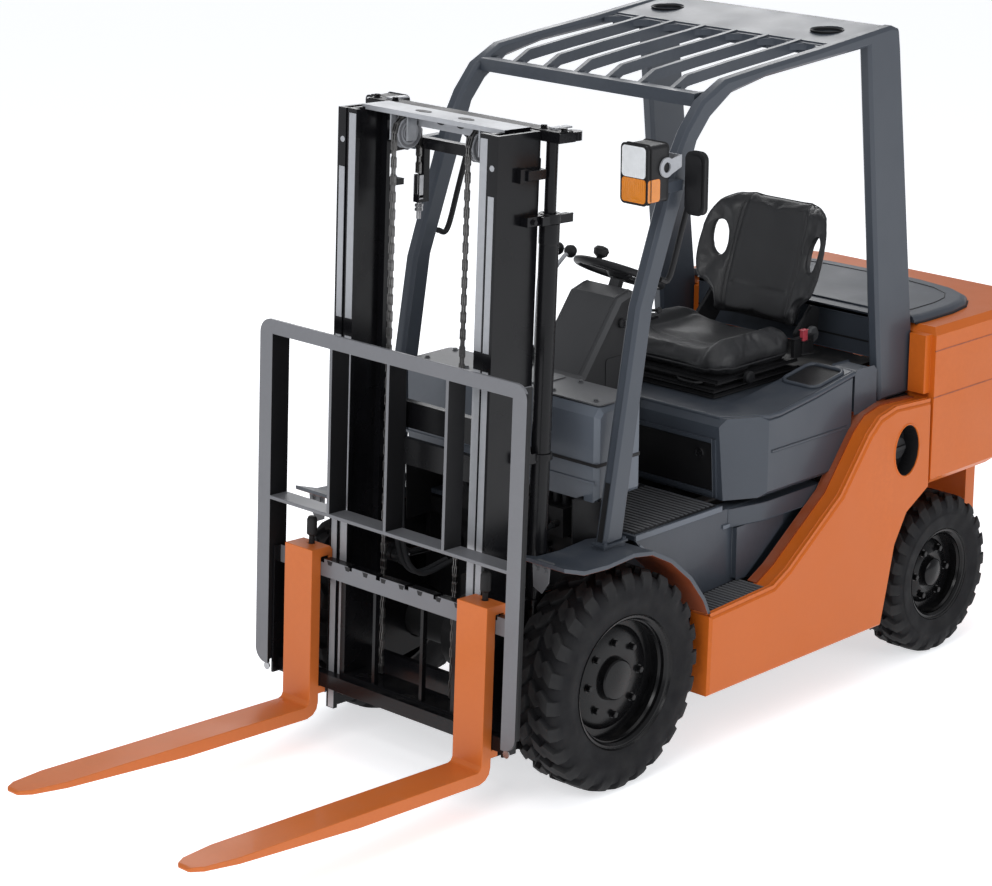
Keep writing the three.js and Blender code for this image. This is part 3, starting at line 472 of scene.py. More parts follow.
def mirror_copy(bm):
    """Adds the other side of everything drawn so far."""
    copy = bmesh.ops.duplicate(bm, geom=bm.verts[:] + bm.edges[:] + bm.faces[:])["geom"]
    verts = [g for g in copy if isinstance(g, bmesh.types.BMVert)]
    for v in verts:
        v.co.x = -v.co.x
    bmesh.ops.reverse_faces(bm, faces=[g for g in copy if isinstance(g, bmesh.types.BMFace)])


def refine(node, materials, width=2.0, segments=2, angle=28, paint_faces=None):
    """A copy of a CAD node with rounded edges, standing for it."""
    source = frame["nodes"][node]
    bm = bmesh.new()
    bm.from_mesh(source.data)
    bm.transform(Matrix.Scale(1 / MM, 4))
    for face in bm.faces:
        face.material_index = 0
    soften(bm, width, segments, angle)
    if paint_faces:
        bm.normal_update()
        for face in bm.faces:
            face.material_index = paint_faces(face.calc_center_median(), face.normal)
    body = source["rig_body"]
    piece(node + "_finish", bm, materials, body, Matrix.Scale(MM, 4), node)


SIDES = (("left", 1), ("right", -1))
CHAIN_X, SHEAVE_Y, SHEAVE_Z = 150, 200, 1903        # a chain's plane and its sheave's centre
LIFT_CYLINDER = (339, 293.6, 0)
FILLER = (1809, 762)                                # station and height of the fuel filler pocket


# ------------------------------------------------------------------ tyres and rims
LUG = ((0.0, 0), (0.045, 1), (0.2, 1), (0.38, 1), (0.535, 1), (0.58, 0), (0.79, 0))


def lug_skew(t):
    """How far a lug has run round the tyre, in pitches, at share t of the half width."""
    stops = ((0.0, 0.0), (0.36, 0.40), (0.50, 0.30), (0.8, 0.62), (1.0, 0.66))
    for (t0, s0), (t1, s1) in zip(stops, stops[1:]):
        if t <= t1:
            return s0 + (s1 - s0) * (t - t0) / (t1 - t0)
    return stops[-1][1]


def make_tyre(name, node, body, centre, radius, width, rim, lugs, depth):
    h = width / 2
    ground = radius - depth
    # rows: x, radius of the carcass, share of lug height
    half = [(0.035 * h, ground, 0), (0.065 * h, ground, 1), (0.3 * h, ground, 1), (0.36 * h, ground, 1),
            (0.5 * h, ground, 1),
            (0.64 * h, ground - 1, 1), (0.80 * h, ground - 5, 1), (0.905 * h, ground - 15, 0.9),
            (0.955 * h, ground - 30, 0.55), (0.975 * h, ground - 40, 0), (0.99 * h, ground - 54, 0),
            (0.995 * h, rim + 58, 0),
            (0.965 * h, rim + 38, 0), (0.95 * h, rim + 34, 0), (0.925 * h, rim + 20, 0),
            (0.90 * h, rim + 8, 0), (0.86 * h, rim + 1, 0)]
    rows = [(-x, r, m, -1) for x, r, m in reversed(half)] + [(x, r, m, 1) for x, r, m in half]
    bm = bmesh.new()
    grid = []
    for x, r, share, side in rows:
        skew = lug_skew(abs(x) / h) + (0.5 if side < 0 else 0)
        ring = []
        for k in range(lugs):
            for part, up in LUG:
                angle = 2 * math.pi * (k + part + skew) / lugs
                rise = depth * share * up
                radial = r + rise * (1.0 if abs(x) < 0.85 * h else 0.62)
                across = x + (side * rise * 0.25 if abs(x) > 0.85 * h and abs(x) < 0.97 * h else 0)
                across = max(-h, min(h, across))
                ring.append(bm.verts.new((across, radial * math.cos(angle), radial * math.sin(angle))))
        grid.append(ring)
    columns = lugs * len(LUG)
    shift = {}
    for i in range(len(grid) - 1):
        step = 0
        if rows[i][3] < 0 < rows[i + 1][3]:
            step = len(LUG) // 2
        shift[i] = step
        for k in range(columns):
            j = (k + 1) % columns
            bm.faces.new([grid[i][k], grid[i][j], grid[i + 1][(j + step) % columns],
                          grid[i + 1][(k + step) % columns]])
    first, last = grid[0], grid[-1]
    total = sum(shift.values())
    for k in range(columns):
        j = (k + 1) % columns
        bm.faces.new([last[(k + total) % columns], last[(j + total) % columns], first[j], first[k]])
    bm.transform(Matrix.Translation(centre))
    piece(name, bm, TYRE, body, TRUCK, node, 32, False)


def make_rim(name, node, body, centre, side, rim, width, disc, studs, stud_circle, cap):
    h = width / 2
    bm = bmesh.new()
    barrel = [(rim - 2, -h + 18), (rim + 6, -h + 10), (rim + 6, -h + 6), (rim - 4, -h + 8),
              (rim - 12, -h + 30), (rim - 14, disc),
              (rim - 40, disc - 4), (rim - 62, disc + 10), (cap + 22, disc + 16), (cap + 8, disc + 12),
              (cap + 4, disc + 30),
              (cap, disc + 34), (cap * 0.55, disc + 40), (0.5, disc + 41), (0.5, disc - 8), (cap, disc - 8),
              (cap + 20, disc + 2),
              (rim - 60, disc - 2), (rim - 44, disc - 14), (rim - 22, disc - 12)]
    front = [(rim - 16, disc + 14), (rim - 14, disc + 24), (rim - 20, disc + 32), (rim - 16, disc + 40),
             (rim - 9, h - 26),
             (rim - 12, h - 18), (rim - 5, h - 10), (rim + 3, h - 8), (rim + 7, h - 5), (rim + 6, h - 1),
             (rim - 2, h - 14),
             (rim - 1, h - 24), (rim - 1, -h + 22)]
    lathe(bm, "X", [(r, x * side) for r, x in barrel[:6] + front], (0, 0, 0), 64)
    plate = barrel[5:]
    lathe(bm, "X", [(r, x * side) for r, x in plate], (0, 0, 0), 64)
    for k in range(studs):
        a = 2 * math.pi * k / studs
        place = ((disc + 13) * side, stud_circle * math.cos(a), stud_circle * math.sin(a))
        bolt(bm, place, (side, 0, 0), 10, 12)
    bm.transform(Matrix.Translation(centre))
    piece(name, bm, RIM_PAINT, body, TRUCK, node, 30)


def wheels():
    for word, side in SIDES:
        front, rear = (475 * side, 462, 338), (471 * side, 2062, 270)
        names = [f"{end}_{what}_{word}" for end in ("front", "rear") for what in ("tyre", "rim", "wheel")]
        tyre, rim, wheel, rear_tyre, rear_rim, rear_wheel = names
        make_tyre(f"front_tyre_tread_{word}", tyre, wheel, front, 338, 190, 200.5, 24, 17)
        make_tyre(f"rear_tyre_tread_{word}", rear_tyre, rear_wheel, rear, 270, 160, 150.5, 22, 14)
        make_rim(f"front_wheel_rim_{word}", rim, wheel, front, side, 200, 178, 22, 8, 112, 58)
        make_rim(f"rear_wheel_rim_{word}", rear_rim, rear_wheel, rear, side, 150, 148, 16, 6, 84, 42)


# ------------------------------------------------------------------ seat
def soft_solid(name, bm, voxel, cap):
    """Remeshes a drawn solid and stuffs it with a short cloth simulation. No point moves more than cap."""
    bmesh.ops.recalc_face_normals(bm, faces=bm.faces)
    bm.transform(TRUCK)
    mesh = bpy.data.meshes.new(name)
    bm.to_mesh(mesh)
    bm.free()
    pad = link(name, mesh)
    bpy.context.view_layer.objects.active = pad
    remesh = pad.modifiers.new("even", "REMESH")
    remesh.mode = "VOXEL"
    remesh.voxel_size = voxel
    apply_modifiers(pad)
    before = [v.co.copy() for v in pad.data.vertices]
    cloth = pad.modifiers.new("stuffing", "CLOTH")
    cloth.settings.use_pressure = True
    cloth.settings.uniform_pressure_force = 4
    cloth.settings.tension_stiffness = 15
    cloth.settings.compression_stiffness = 15
    cloth.settings.bending_stiffness = 1.5
    cloth.settings.effector_weights.gravity = 0
    cloth.point_cache.frame_end = 20
    for number in range(1, 21):
        bpy.context.scene.frame_set(number)
    apply_modifiers(pad)
    bpy.context.scene.frame_set(1)
    for vertex, start in zip(pad.data.vertices, before):
        step = vertex.co - start
        if step.length > cap:
            vertex.co = start + step * (cap / step.length)
    return pad


def finish_pad(pad, body, node, rounds):
    """Relaxes a stuffed pad, subdivides it once and hands it over."""
    relax(pad, rounds)
    pad.modifiers.new("fine", "SUBSURF").levels = 1
    pad.modifiers["fine"].render_levels = 1
    apply_modifiers(pad)
    for face in pad.data.polygons:
        face.use_smooth = True
    pad.data.materials.clear()
    pad.data.materials.append(VINYL)
    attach(pad, body)
    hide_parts(node)


def apply_modifiers(obj):
    depsgraph = bpy.context.evaluated_depsgraph_get()
    made = bpy.data.meshes.new_from_object(obj.evaluated_get(depsgraph))
    obj.modifiers.clear()
    obj.data = made


def relax(obj, rounds):
    bm = bmesh.new()
    bm.from_mesh(obj.data)
    for _ in range(rounds):
        bmesh.ops.smooth_vert(bm, verts=bm.verts, factor=0.5, use_axis_x=True, use_axis_y=True,
                              use_axis_z=True)
    for face in bm.faces:
        face.smooth = True
    bm.to_mesh(obj.data)
    bm.free()


def rounded(x0, x1, y0, y1, r, steps=5):
    """Corner points of a rounded rectangle."""
    points = []
    for cx, cy, start in ((x1 - r, y1 - r, 0), (x0 + r, y1 - r, 90), (x0 + r, y0 + r, 180),
                          (x1 - r, y0 + r, 270)):
        for k in range(steps + 1):
            a = math.radians(start + 90 * k / steps)
            points.append((cx + r * math.cos(a), cy + r * math.sin(a)))
    return points


def loft(bm, rings):
    """Closes a stack of equal rings of points into a solid."""
    rows = [[bm.verts.new(point) for point in ring] for ring in rings]
    n = len(rows[0])
    for low, high in zip(rows, rows[1:]):
        for k in range(n):
            bm.faces.new([low[k], low[(k + 1) % n], high[(k + 1) % n], high[k]])
    bm.faces.new(list(reversed(rows[0])))
    bm.faces.new(rows[-1])


def hug(pad, points, lift):
    """Moves drawn points onto the nearest place of a finished pad, lift above it."""
    bm = bmesh.new()
    bm.from_mesh(pad.data)
    tree = BVHTree.FromBMesh(bm)
    bm.free()
    back = TRUCK.inverted()
    found = []
    for point in points:
        near, normal = tree.find_nearest(TRUCK @ Vector(point))[:2]
        found.append(tuple(back @ (near + normal * lift * MM)))
    return found


def seat_cushion():
    bm = bmesh.new()
    rings = []
    for z, half, front, back in ((1050, 238, 1250, 1646), (1058, 246, 1242, 1654), (1074, 250, 1238, 1656),
                                 (1092, 247, 1242, 1654), (1104, 234, 1258, 1642)):
        rings.append([(x, y, z) for x, y in rounded(-half, half, front, back, 80, 8)])
    loft(bm, rings)
    pad = soft_solid("seat_cushion_vinyl", bm, 0.006, 0.024)
    for vertex in pad.data.vertices:
        x, y, z = vertex.co.x / MM, vertex.co.y / MM + STATION_ZERO, vertex.co.z / MM
        if z < 1062:
            vertex.co.z = max(vertex.co.z, 1.0365)
            continue
        lift = (z - 1062) / 46
        step = 20 / (1 + math.exp(-(abs(x) - 162) / 9))
        dish = -20 * math.exp(-(x / 165) ** 4) * math.exp(-((y - 1490) / 190) ** 2)
        seam = -6 * math.exp(-((y - 1370) / 6) ** 2) * (1 if abs(x) < 162 else 0)
        groove = -8 * math.exp(-((abs(x) - 162) / 6) ** 2)
        nose = -14 * max(0.0, (1330 - y) / 90) ** 2
        back = 12 * max(0.0, (y - 1600) / 60)
        vertex.co.z += lift * (step + dish + seam + groove + nose * 0.7 + back) * MM
    finish_pad(pad, "seat", "seat_cushion", 2)
    bm = bmesh.new()
    box(bm, -214, 214, 1262, 1620, 1013.5, 1028)
    box(bm, -236, 236, 1248, 1652, 1027, 1040)
    box(bm, 246, 262, 1600, 1700, 1050, 1112)
    soften(bm, 3, 2)
    tube(bm, [(60, 1262, 1024), (90, 1236, 1021), (150, 1230, 1021), (175, 1246, 1023)], 4.5, 10)
    for z, grow in ((1018, 0), (1024, 4)):
        tube(bm, [(x, y, z) for x, y in rounded(-218 - grow, 218 + grow, 1258 - grow, 1620, 60, 6)], 3.6, 8,
             steps=1, loop=True)
    lathe(bm, "X", [(1, 0), (17, 0), (21, 4), (21, 16), (16, 21), (1, 22)], (251, 1372, 1032), 20, ring=False)
    piece("seat_pan", bm, PLASTIC, "seat")
    bm = bmesh.new()
    outline = rounded(-262, 262, 1226, 1674, 92, 8)
    tube(bm, hug(pad, [(x, y, 1056) for x, y in outline], 0.4), 3.2, 8, steps=2, loop=True)
    piece("seat_cushion_piping", bm, PIPING, "seat")


BACK_EDGE = ((0, 1100), (140, 1100), (172, 1108), (184, 1140), (198, 1172), (224, 1196), (250, 1226),
             (264, 1274),
             (268, 1330), (263, 1388), (248, 1436), (222, 1478), (178, 1504), (110, 1515), (0, 1517))


def backrest_bend(x, z, t):
    """Rearward station of a point at width x, height z and share t of the thickness."""
    lean = 1694 + (z - 1096) * 0.29 - 13 * math.exp(-((z - 1180) / 90) ** 2)
    wings = -62 * max(0.0, (abs(x) - 112) / 140) ** 1.5
    return lean + 16 + wings + t * (52 - 12 * max(0.0, (abs(x) - 150) / 110))


def wing_slot(side):
    """Points round the tilted opening in a backrest wing."""
    points = []
    for k in range(24):
        a = 2 * math.pi * k / 24
        u, v = 25 * math.cos(a), 62 * math.sin(a)
        points.append((side * (212 + u + v * 0.10), 1352 + v - u * 0.10))
    return points


def seat_backrest():
    bm = bmesh.new()
    outline = list(BACK_EDGE) + [(-x, z) for x, z in reversed(BACK_EDGE[1:-1])]
    loops = [outline, wing_slot(-1), wing_slot(1)]
    layers = []
    for y in (1667, 1703):
        rims = [[bm.verts.new((x, y, z)) for x, z in loop] for loop in loops]
        edges = []
        for rim in rims:
            edges += [bm.edges.new((rim[k], rim[(k + 1) % len(rim)])) for k in range(len(rim))]
        bmesh.ops.triangle_fill(bm, use_beauty=True, use_dissolve=False, edges=edges)
        layers.append(rims)
    for near, far in zip(*layers):
        for k in range(len(near)):
            j = (k + 1) % len(near)
            bm.faces.new([near[k], near[j], far[j], far[k]])
    pad = soft_solid("seat_backrest_vinyl", bm, 0.006, 0.022)
    for vertex in pad.data.vertices:
        x, t, z = vertex.co.x / MM, (vertex.co.y / MM + STATION_ZERO - 1650) / 70, vertex.co.z / MM
        near = max(0.0, 1 - t)
        panel_seam = math.exp(-((abs(x) - 122 - 14 * math.sin((z - 1100) / 130)) / 6) ** 2)
        seam = panel_seam + 0.8 * math.exp(-((z - 1215) / 6) ** 2) * (abs(x) < 118)
        bulge = 8 * math.exp(-((abs(x) - 165) / 34) ** 2) + 5 * math.exp(-(x / 60) ** 2)
        crease = 1.4 * math.sin(z / 15 + x / 40) * math.exp(-((x + 175) / 40) ** 2)
        vertex.co.y = (backrest_bend(x, z, t) + near * (9 * seam - bulge + crease) - STATION_ZERO) * MM
    finish_pad(pad, "seat_back", "seat_backrest", 2)
    bm = bmesh.new()
    for s in (-1, 1):
        seam = [(s * (122 + 14 * math.sin((z - 1100) / 130)), z) for z in range(1124, 1494, 20)]
        tube(bm, hug(pad, [(x, backrest_bend(x, z, -0.3), z) for x, z in seam], 0), 2.0, 8)
    edge = smooth_path([(x * 1.06, 0, 1100 + (z - 1100) * 1.02) for x, z in outline] + [(0, 0, 1100)], 3)[:-1]
    tube(bm, hug(pad, [(x, backrest_bend(x, z, 0.5), z) for x, _, z in edge], 0.3), 2.4, 8, steps=1,
         loop=True)
    piece("seat_backrest_piping", bm, PIPING, "seat_back")
    bm = bmesh.new()
    for s in (-1, 1):
        prism(bm, "X", [(1668, 1052), (1740, 1052), (1778, 1096), (1786, 1170), (1752, 1188), (1716, 1150),
                        (1672, 1110)],
              s * 206 - 7, s * 206 + 7)
    soften(bm, 3, 2)
    piece("seat_hinges", bm, PLASTIC, "seat")
    bm = bmesh.new()
    lathe(bm, "X", [(1, -6), (22, -6), (27, 0), (27, 10), (22, 16), (1, 17)], (222, 1732, 1100), 24,
          ring=False)
    piece("recliner_knob", bm, GREY_PLASTIC, "seat")
    bm = bmesh.new()
    box(bm, 252, 268, 1636, 1660, 1100, 1136)
    soften(bm, 3, 2)
    piece("belt_buckle", bm, RED, "seat")
    bm = bmesh.new()
    box(bm, 250, 270, 1632, 1664, 1056, 1102)
    soften(bm, 4, 2)
    piece("buckle_holder", bm, PLASTIC, "seat")


# ------------------------------------------------------------------ drawing helpers for the details
def strip(bm, points, x0, x1, thick):
    """A band following (y, z) points, thick to the right of their direction, between two X planes."""
    far = []
    for i, (y, z) in enumerate(points):
        ahead = Vector(points[min(i + 1, len(points) - 1)])
        behind = Vector(points[max(i - 1, 0)])
        along = (ahead - behind).normalized()
        far.append((y + along.y * thick, z - along.x * thick))
    prism(bm, "X", list(points) + list(reversed(far)), x0, x1)


def oval(cu, cv, ru, rv, steps=20):
    return [(cu + ru * math.cos(2 * math.pi * k / steps), cv + rv * math.sin(2 * math.pi * k / steps))
            for k in range(steps)]


def detail(name, materials, body, draw, width=0, segments=2, both=False, replaces=(), place=TRUCK):
    """Draws a piece with a function of a bmesh, rounds its edges and adds its mirror image."""
    bm = bmesh.new()
    draw(bm)
    if width:
        soften(bm, width, segments)
    if both:
        mirror_copy(bm)
    piece(name, bm, materials, body, place, replaces)


# ------------------------------------------------------------------ mast
def mast_details():
    def outer_strips(bm):
        box(bm, 290.6, 313.4, 86.5, 88.6, 118, 1288)
        box(bm, 290.6, 313.4, 86.5, 88.6, 1342, 1792)
        lathe(bm, "Y", [(1, 86.6), (8, 86.6), (9, 87.4), (9, 88.4), (1, 88.4)], (302, 0, 1872), 16,
              ring=False)

    detail("outer_mast_strips", STRIP, "mast_outer", outer_strips, 0.5, 1, both=True, place=MAST)
    detail("inner_mast_strips", STRIP, "mast_inner", boxes(
        (251.2, 279, 90.4, 92.6, 172, 1288),
        (251.2, 279, 90.4, 92.6, 1342, 1952)), 0.5, 1, both=True, place=MAST)

    def stops(bm):
        box(bm, 323.2, 340, 166, 190, 1826, 1866)
        box(bm, 323.2, 350, 190, 270, 1700, 1728)
        box(bm, 356, 362, 240, 368, 1700, 1726)
        box(bm, 323.2, 352, 200, 262, 1000, 1030)
        box(bm, 323.2, 352, 200, 262, 560, 590)
        for z in (1712, 1015, 575):
            bolt(bm, (350 if z > 1100 else 352, 216, z), (1, 0, 0), 8, 6)

    detail("mast_stops", BLACK_GLOSS, "mast_outer", stops, 2, both=True, place=MAST)

    def clamps(bm):
        box(bm, 323.2, 348, 190, 262, 1832, 1860)
        box(bm, 330, 358, 318, 372, 1704, 1722)
        lathe(bm, "Z", [(20, 1702), (33, 1702), (33, 1730), (20, 1730)], LIFT_CYLINDER, 28)
        for z in (1006, 566):
            lathe(bm, "Z", [(29.3, z), (35, z), (35, z + 20), (29.3, z + 20)], LIFT_CYLINDER, 28)

    detail("cylinder_clamps", BLACK_GLOSS, "mast_outer", clamps, 1.5, both=True, place=MAST)

    def anchors(bm):
        lathe(bm, "Z", [(1, 1640), (7, 1640), (7, 1704), (1, 1704)], (150, 257, 0), 14, ring=False)
        for z in (1664, 1676):
            lathe(bm, "Z", [(7.2, z), (13, z), (13, z + 9), (7.2, z + 9)], (150, 257, 0), 6)
        for x in (137.2, 160.4):
            box(bm, x, x + 2.4, 245, 261, 1704, 1772)
        box(bm, 137.2, 162.8, 245, 261, 1700, 1712.5)

    detail("chain_anchors", BOLT, "mast_outer", anchors, 0.8, 1, both=True, place=MAST)

    def top(bm):
        for x in (-86, 86):
            prism(bm, "Z", oval(x, 202, 30, 15), 1971.6, 1973)
        for x in (-40, 40):
            prism(bm, "Y", oval(x, 1944, 16, 8), 226.4, 228.5)
        box(bm, -385, 385, 268, 328, 1965.2, 1967.4)

    detail("mast_top_ovals", PLASTIC, "mast_inner", top, 0.4, 1, place=MAST)

    def lugs(bm):
        prism(bm, "Z", oval(368, 350, 22, 26), 1938, 1964)
        box(bm, 349, 389, 326, 350, 1938, 1964)
        for x in (300, 378):
            bolt(bm, (x, 298, 1967), (0, 0, 1), 10, 8)

    detail("crosshead_lugs", BLACK_GLOSS, "mast_inner", lugs, 2.5, both=True, place=MAST)

    detail("mast_light_brackets", STRIP, "mast_inner", boxes(
        (176, 220, 210, 227.6, 1900, 1955),
        (176, 182, 160, 227, 1880, 1955),
        (318, 342, 300, 371, 1967.4, 1972)), 1.5, both=True, place=MAST)

    for word, side in SIDES:
        bm = bmesh.new()
        for r0, r1 in ((14, 20), (26, 29), (36, 44)):
            for x0, x1 in ((-13.2, -11.8), (11.8, 13.2)):
                lathe(bm, "X", [(r0, x0), (r1, x0), (r1, x1), (r0, x1)],
                      (side * CHAIN_X, SHEAVE_Y, SHEAVE_Z), 32)
        piece(f"sheave_rings_{word}", bm, BACKREST, f"sheave_{word}", MAST)
    lead = [(-196, 236, 1180), (-196, 242, 900), (-190, 246, 640), (-170, 300, 540), (-150, 420, 560)]

    def hoses(bm):
        for shift in (0, 24):
            tube(bm, [(x + shift, y, z) for x, y, z in lead], 8, 12)

    detail("mast_hoses", MAT, "mast_outer", hoses, place=MAST)


def leaf_chain(word, side):
    """Link plates and pins along the chain's run, from the carriage over the sheave to its anchor."""
    radius, pitch, carriage_end, anchor_end, squashed = 51, 25.4, 252, 1766, 0.14
    front, arc, rear = SHEAVE_Z - carriage_end, math.pi * radius, SHEAVE_Z - anchor_end

    def at(length):
        if length < front:
            return SHEAVE_Y - radius, carriage_end + length
        if length < front + arc:
            a = math.pi - (length - front) / radius
            return SHEAVE_Y + radius * math.cos(a), SHEAVE_Z + radius * math.sin(a)
        return SHEAVE_Y + radius, SHEAVE_Z - (length - front - arc)

    bm = bmesh.new()
    total = front + arc + rear
    count = int(total / pitch)
    for i in range(count):
        y0, z0 = at(i * pitch + 4)
        y1, z1 = at(min(total - 3, (i + 1) * pitch + 4))
        along = Vector((0, y1 - y0, z1 - z0))
        length = along.length
        along.normalize()
        across = Vector((1, 0, 0)).cross(along)
        middle = Vector((side * CHAIN_X, (y0 + y1) / 2, (z0 + z1) / 2))
        plates = (-8.6, -1.2, 6.2) if i % 2 else (-5.4, 3.0)
        half = length / 2
        outline = [(-half - 4, -2.6), (-half, -4.6), (-half * 0.4, -4.2), (half * 0.4, -4.2), (half, -4.6),
                   (half + 4, -2.6),
                   (half + 4, 2.6), (half, 4.6), (half * 0.4, 4.2), (-half * 0.4, 4.2), (-half, 4.6),
                   (-half - 4, 2.6)]
        for x in plates:
            solid(bm, [middle + along * u + across * v + Vector((x + step, 0, 0))
                       for step in (0, 2.4) for u, v in outline])
        lathe(bm, "X", [(0.6, -9.7), (2.9, -9.7), (2.9, 9.7), (0.6, 9.7)], (side * CHAIN_X, y0, z0), 10,
              ring=False)
    made = piece(f"leaf_chain_{word}", bm, CHAIN, "mast_inner", MAST, f"chain_{word}", 30, False)
    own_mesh(made)


# ------------------------------------------------------------------ lamps and mirror
def lamps():
    for word, side in SIDES:
        pivot = Matrix.Translation((side * 524, 626, 1782)) @ Matrix.Diagonal((side, 1, 1, 1))
        place = TRUCK @ pivot

        def housing(bm):
            prism(bm, "Y", rounded(-50, 45, -15, 151, 12, 4), -108, -30)
            prism(bm, "Y", rounded(-52, 46, -17, 153, 13, 4), -120, -104)
            prism(bm, "X", [(-40, -13), (4, -13), (13, -6), (13, 6), (4, 13), (-40, 13)], -19, 3)

        detail(f"headlamp_housing_{word}", PLASTIC, f"headlamp_{word}", housing, 3, 3,
               replaces=f"headlamp_{word}", place=place)

        def clear(bm):
            prism(bm, "Y", rounded(-45, 39, 62, 147, 9, 5), -123, -117)

        detail(f"headlamp_lens_{word}", CLEAR, f"headlamp_{word}", clear, 2.5, 3, place=place)

        def amber(bm):
            prism(bm, "Y", rounded(-45, 41, -11, 56, 8, 5), -123.5, -117)
            prism(bm, "X", rounded(-117, -66, -9, 54, 8, 5), 44.5, 47)

        detail(f"turn_lens_{word}", AMBER, f"headlamp_{word}", amber, 2, 3, place=place)

        def bracket(bm):
            lathe(bm, "X", [(15, 46.2), (29, 46.2), (29, 52), (15, 52)], (0, -40, 84), 32)
            prism(bm, "X", [(-20, 62), (-20, 104), (24, 112), (24, 78)], 46.2, 50)
            box(bm, -36, 49, 20, 24, 78, 112)

        detail(f"headlamp_bracket_{word}", STRIP, f"headlamp_{word}", bracket, 0.8, place=place)
    place = TRUCK @ Matrix.Translation((480, 762, 1785))

    def shell(bm):
        prism(bm, "Y", rounded(24, 92, -87, 95, 22, 6), -10, 8)
        prism(bm, "Y", rounded(31, 84, -76, 84, 18, 6), -14, -8)
        box(bm, 18, 32, -5, 5, -14, 14)

    detail("mirror_shell", PLASTIC, "mirror", shell, 4, 3, replaces="mirror", place=place)
    detail("mirror_glass", MIRROR, "mirror",
           lambda bm: prism(bm, "Y", rounded(28, 88, -82, 90, 18, 6), 8, 10), 0.8, place=place)


# ------------------------------------------------------------------ bodywork
def cowl_details():
    def grooves(bm):
        box(bm, -400.8, 400.8, 498.8, 501, 955, 965)
        for x in (-401.2, 399):
            box(bm, x, x + 2.2, 500, 690, 955, 965)

    detail("cowl_grooves", PLASTIC, "chassis", grooves, 0.5, 1)

    def top(bm):
        prism(bm, "Z", rounded(-388, 388, 524, 690, 18, 4), 1134.6, 1139)
        prism(bm, "Z", rounded(-112, 112, 560, 684, 14, 4), 1138.6, 1143)
        for x in (-350, -180, 180, 350):
            for y in (548, 670):
                bolt(bm, (x, y, 1139), (0, 0, 1), 7, 5)

    detail("cowl_top_plate", WARM_GREY, "chassis", top, 1.5)

    def crease(bm):
        strip(bm, [(498.6, 902), (498.6, 910)], -396, 396, -3)

    detail("cowl_crease", COWL, "chassis", crease, 1)


def bulkhead():
    """Closes the space under the cowl: a plate, the control valve and its hoses."""
    def plate(bm):
        box(bm, -349, 349, 604, 609, 215, 746)
        box(bm, -398, 398, 604, 609, 745, 850)
        box(bm, -398, 398, 520, 524, 846, 858)
        for x in (-350, 346):
            box(bm, x, x + 4, 452, 606, 640, 858)

    detail("front_bulkhead", BLACK_STEEL, "chassis", plate, 1, 1)

    def valve(bm):
        box(bm, 90, 250, 520, 600, 700, 790)
        for x in (112, 150, 188, 226):
            lathe(bm, "Z", [(1, 788), (12, 788), (12, 826), (1, 826)], (x, 560, 0), 14, ring=False)
            lathe(bm, "Y", [(1, 498), (11, 498), (11, 522), (1, 522)], (x, 0, 740), 14, ring=False)
        box(bm, -250, -120, 540, 604, 690, 760)

    detail("control_valve", CAST, "chassis", valve, 1.5)

    def hoses(bm):
        for x, low in ((112, 640), (150, 610), (188, 650), (226, 600)):
            tube(bm, [(x, 500, 740), (x - 10, 470, 720), (x - 20, 500, 660), (x - 30, 560, low),
                      (x - 30, 604, low)], 8, 10)
        for x in (-210, -170):
            tube(bm, [(x, 545, 750), (x + 10, 520, 800), (x + 60, 540, 835), (x + 90, 600, 840)], 9, 10)

    detail("valve_hoses", MAT, "chassis", hoses)


def floor_details():
    areas = ((114, 412, 660), (-412, -114, 850), (-108, 108, 982))

    def mats(bm):
        for x0, x1, y0 in areas:
            box(bm, x0, x1, y0, 1044, 715.1, 716.6)

    def ribs(bm):
        for x0, x1, y0 in areas:
            y = y0 + 10
            while y < 1034:
                box(bm, x0 + 10, x1 - 10, y, y + 9, 716.4, 718.6)
                y += 20

    detail("floor_mat", PLASTIC, "chassis", mats, 0.4, 1)
    detail("floor_ribs", WARM_GREY, "chassis", ribs, 0.6, 1)

    # Strips of the lighter cowl grey along the floor's outer edges: a painted highlight.
    def edges(bm):
        box(bm, 425.1, 428, 648, 1052, 699, 716.5)
        strip(bm, [(667, 679), (757, 601), (822, 516), (850, 454)], 425.1, 427.5, -6)
        box(bm, 425.1, 430, 1056, 1500, 640, 652)

    detail("floor_highlight_strips", COWL, "chassis", edges, 0.8, both=True)

    def tread(bm):
        prism(bm, "X", [(852, 446.2), (1130, 459), (1130, 461), (852, 448.2)], 428, 550)

    def tread_ribs(bm):
        y = 862
        while y < 1120:
            z = 448.5 + (y - 852) * 0.046
            box(bm, 436, 544, y, y + 8, z - 0.5, z + 3)
            y += 17

    detail("step_tread", PLASTIC, "chassis", tread, 0.4, 1, both=True)
    detail("step_ribs", WARM_GREY, "chassis", tread_ribs, 0.6, 1, both=True)

    def bulge(bm):
        prism(bm, "Z", [(425.1, 1080), (431, 1090), (458, 1200), (462, 1230), (462, 1500), (425.1, 1500)],
              640, 700)
        prism(bm, "X", [(1106, 470), (1106, 636), (1330, 636), (1330, 600), (1210, 512), (1150, 470)], 425.1,
              446)

    detail("riser_panels", GREY, "chassis", bulge, 6, 3, both=True)


def fender_flaps():
    """Small bent flaps hanging from the front corners of the fenders."""
    def flap(bm):
        prism(bm, "Y", [(436, 757), (504, 757), (498, 700), (472, 664), (440, 678)], 189, 192)
        box(bm, 440, 500, 189, 214, 752, 755)
        for x in (454, 486):
            bolt(bm, (x, 189, 738), (0, -1, 0), 7, 5)

    detail("fender_flaps", WARM_GREY, "chassis", flap, 1, both=True)


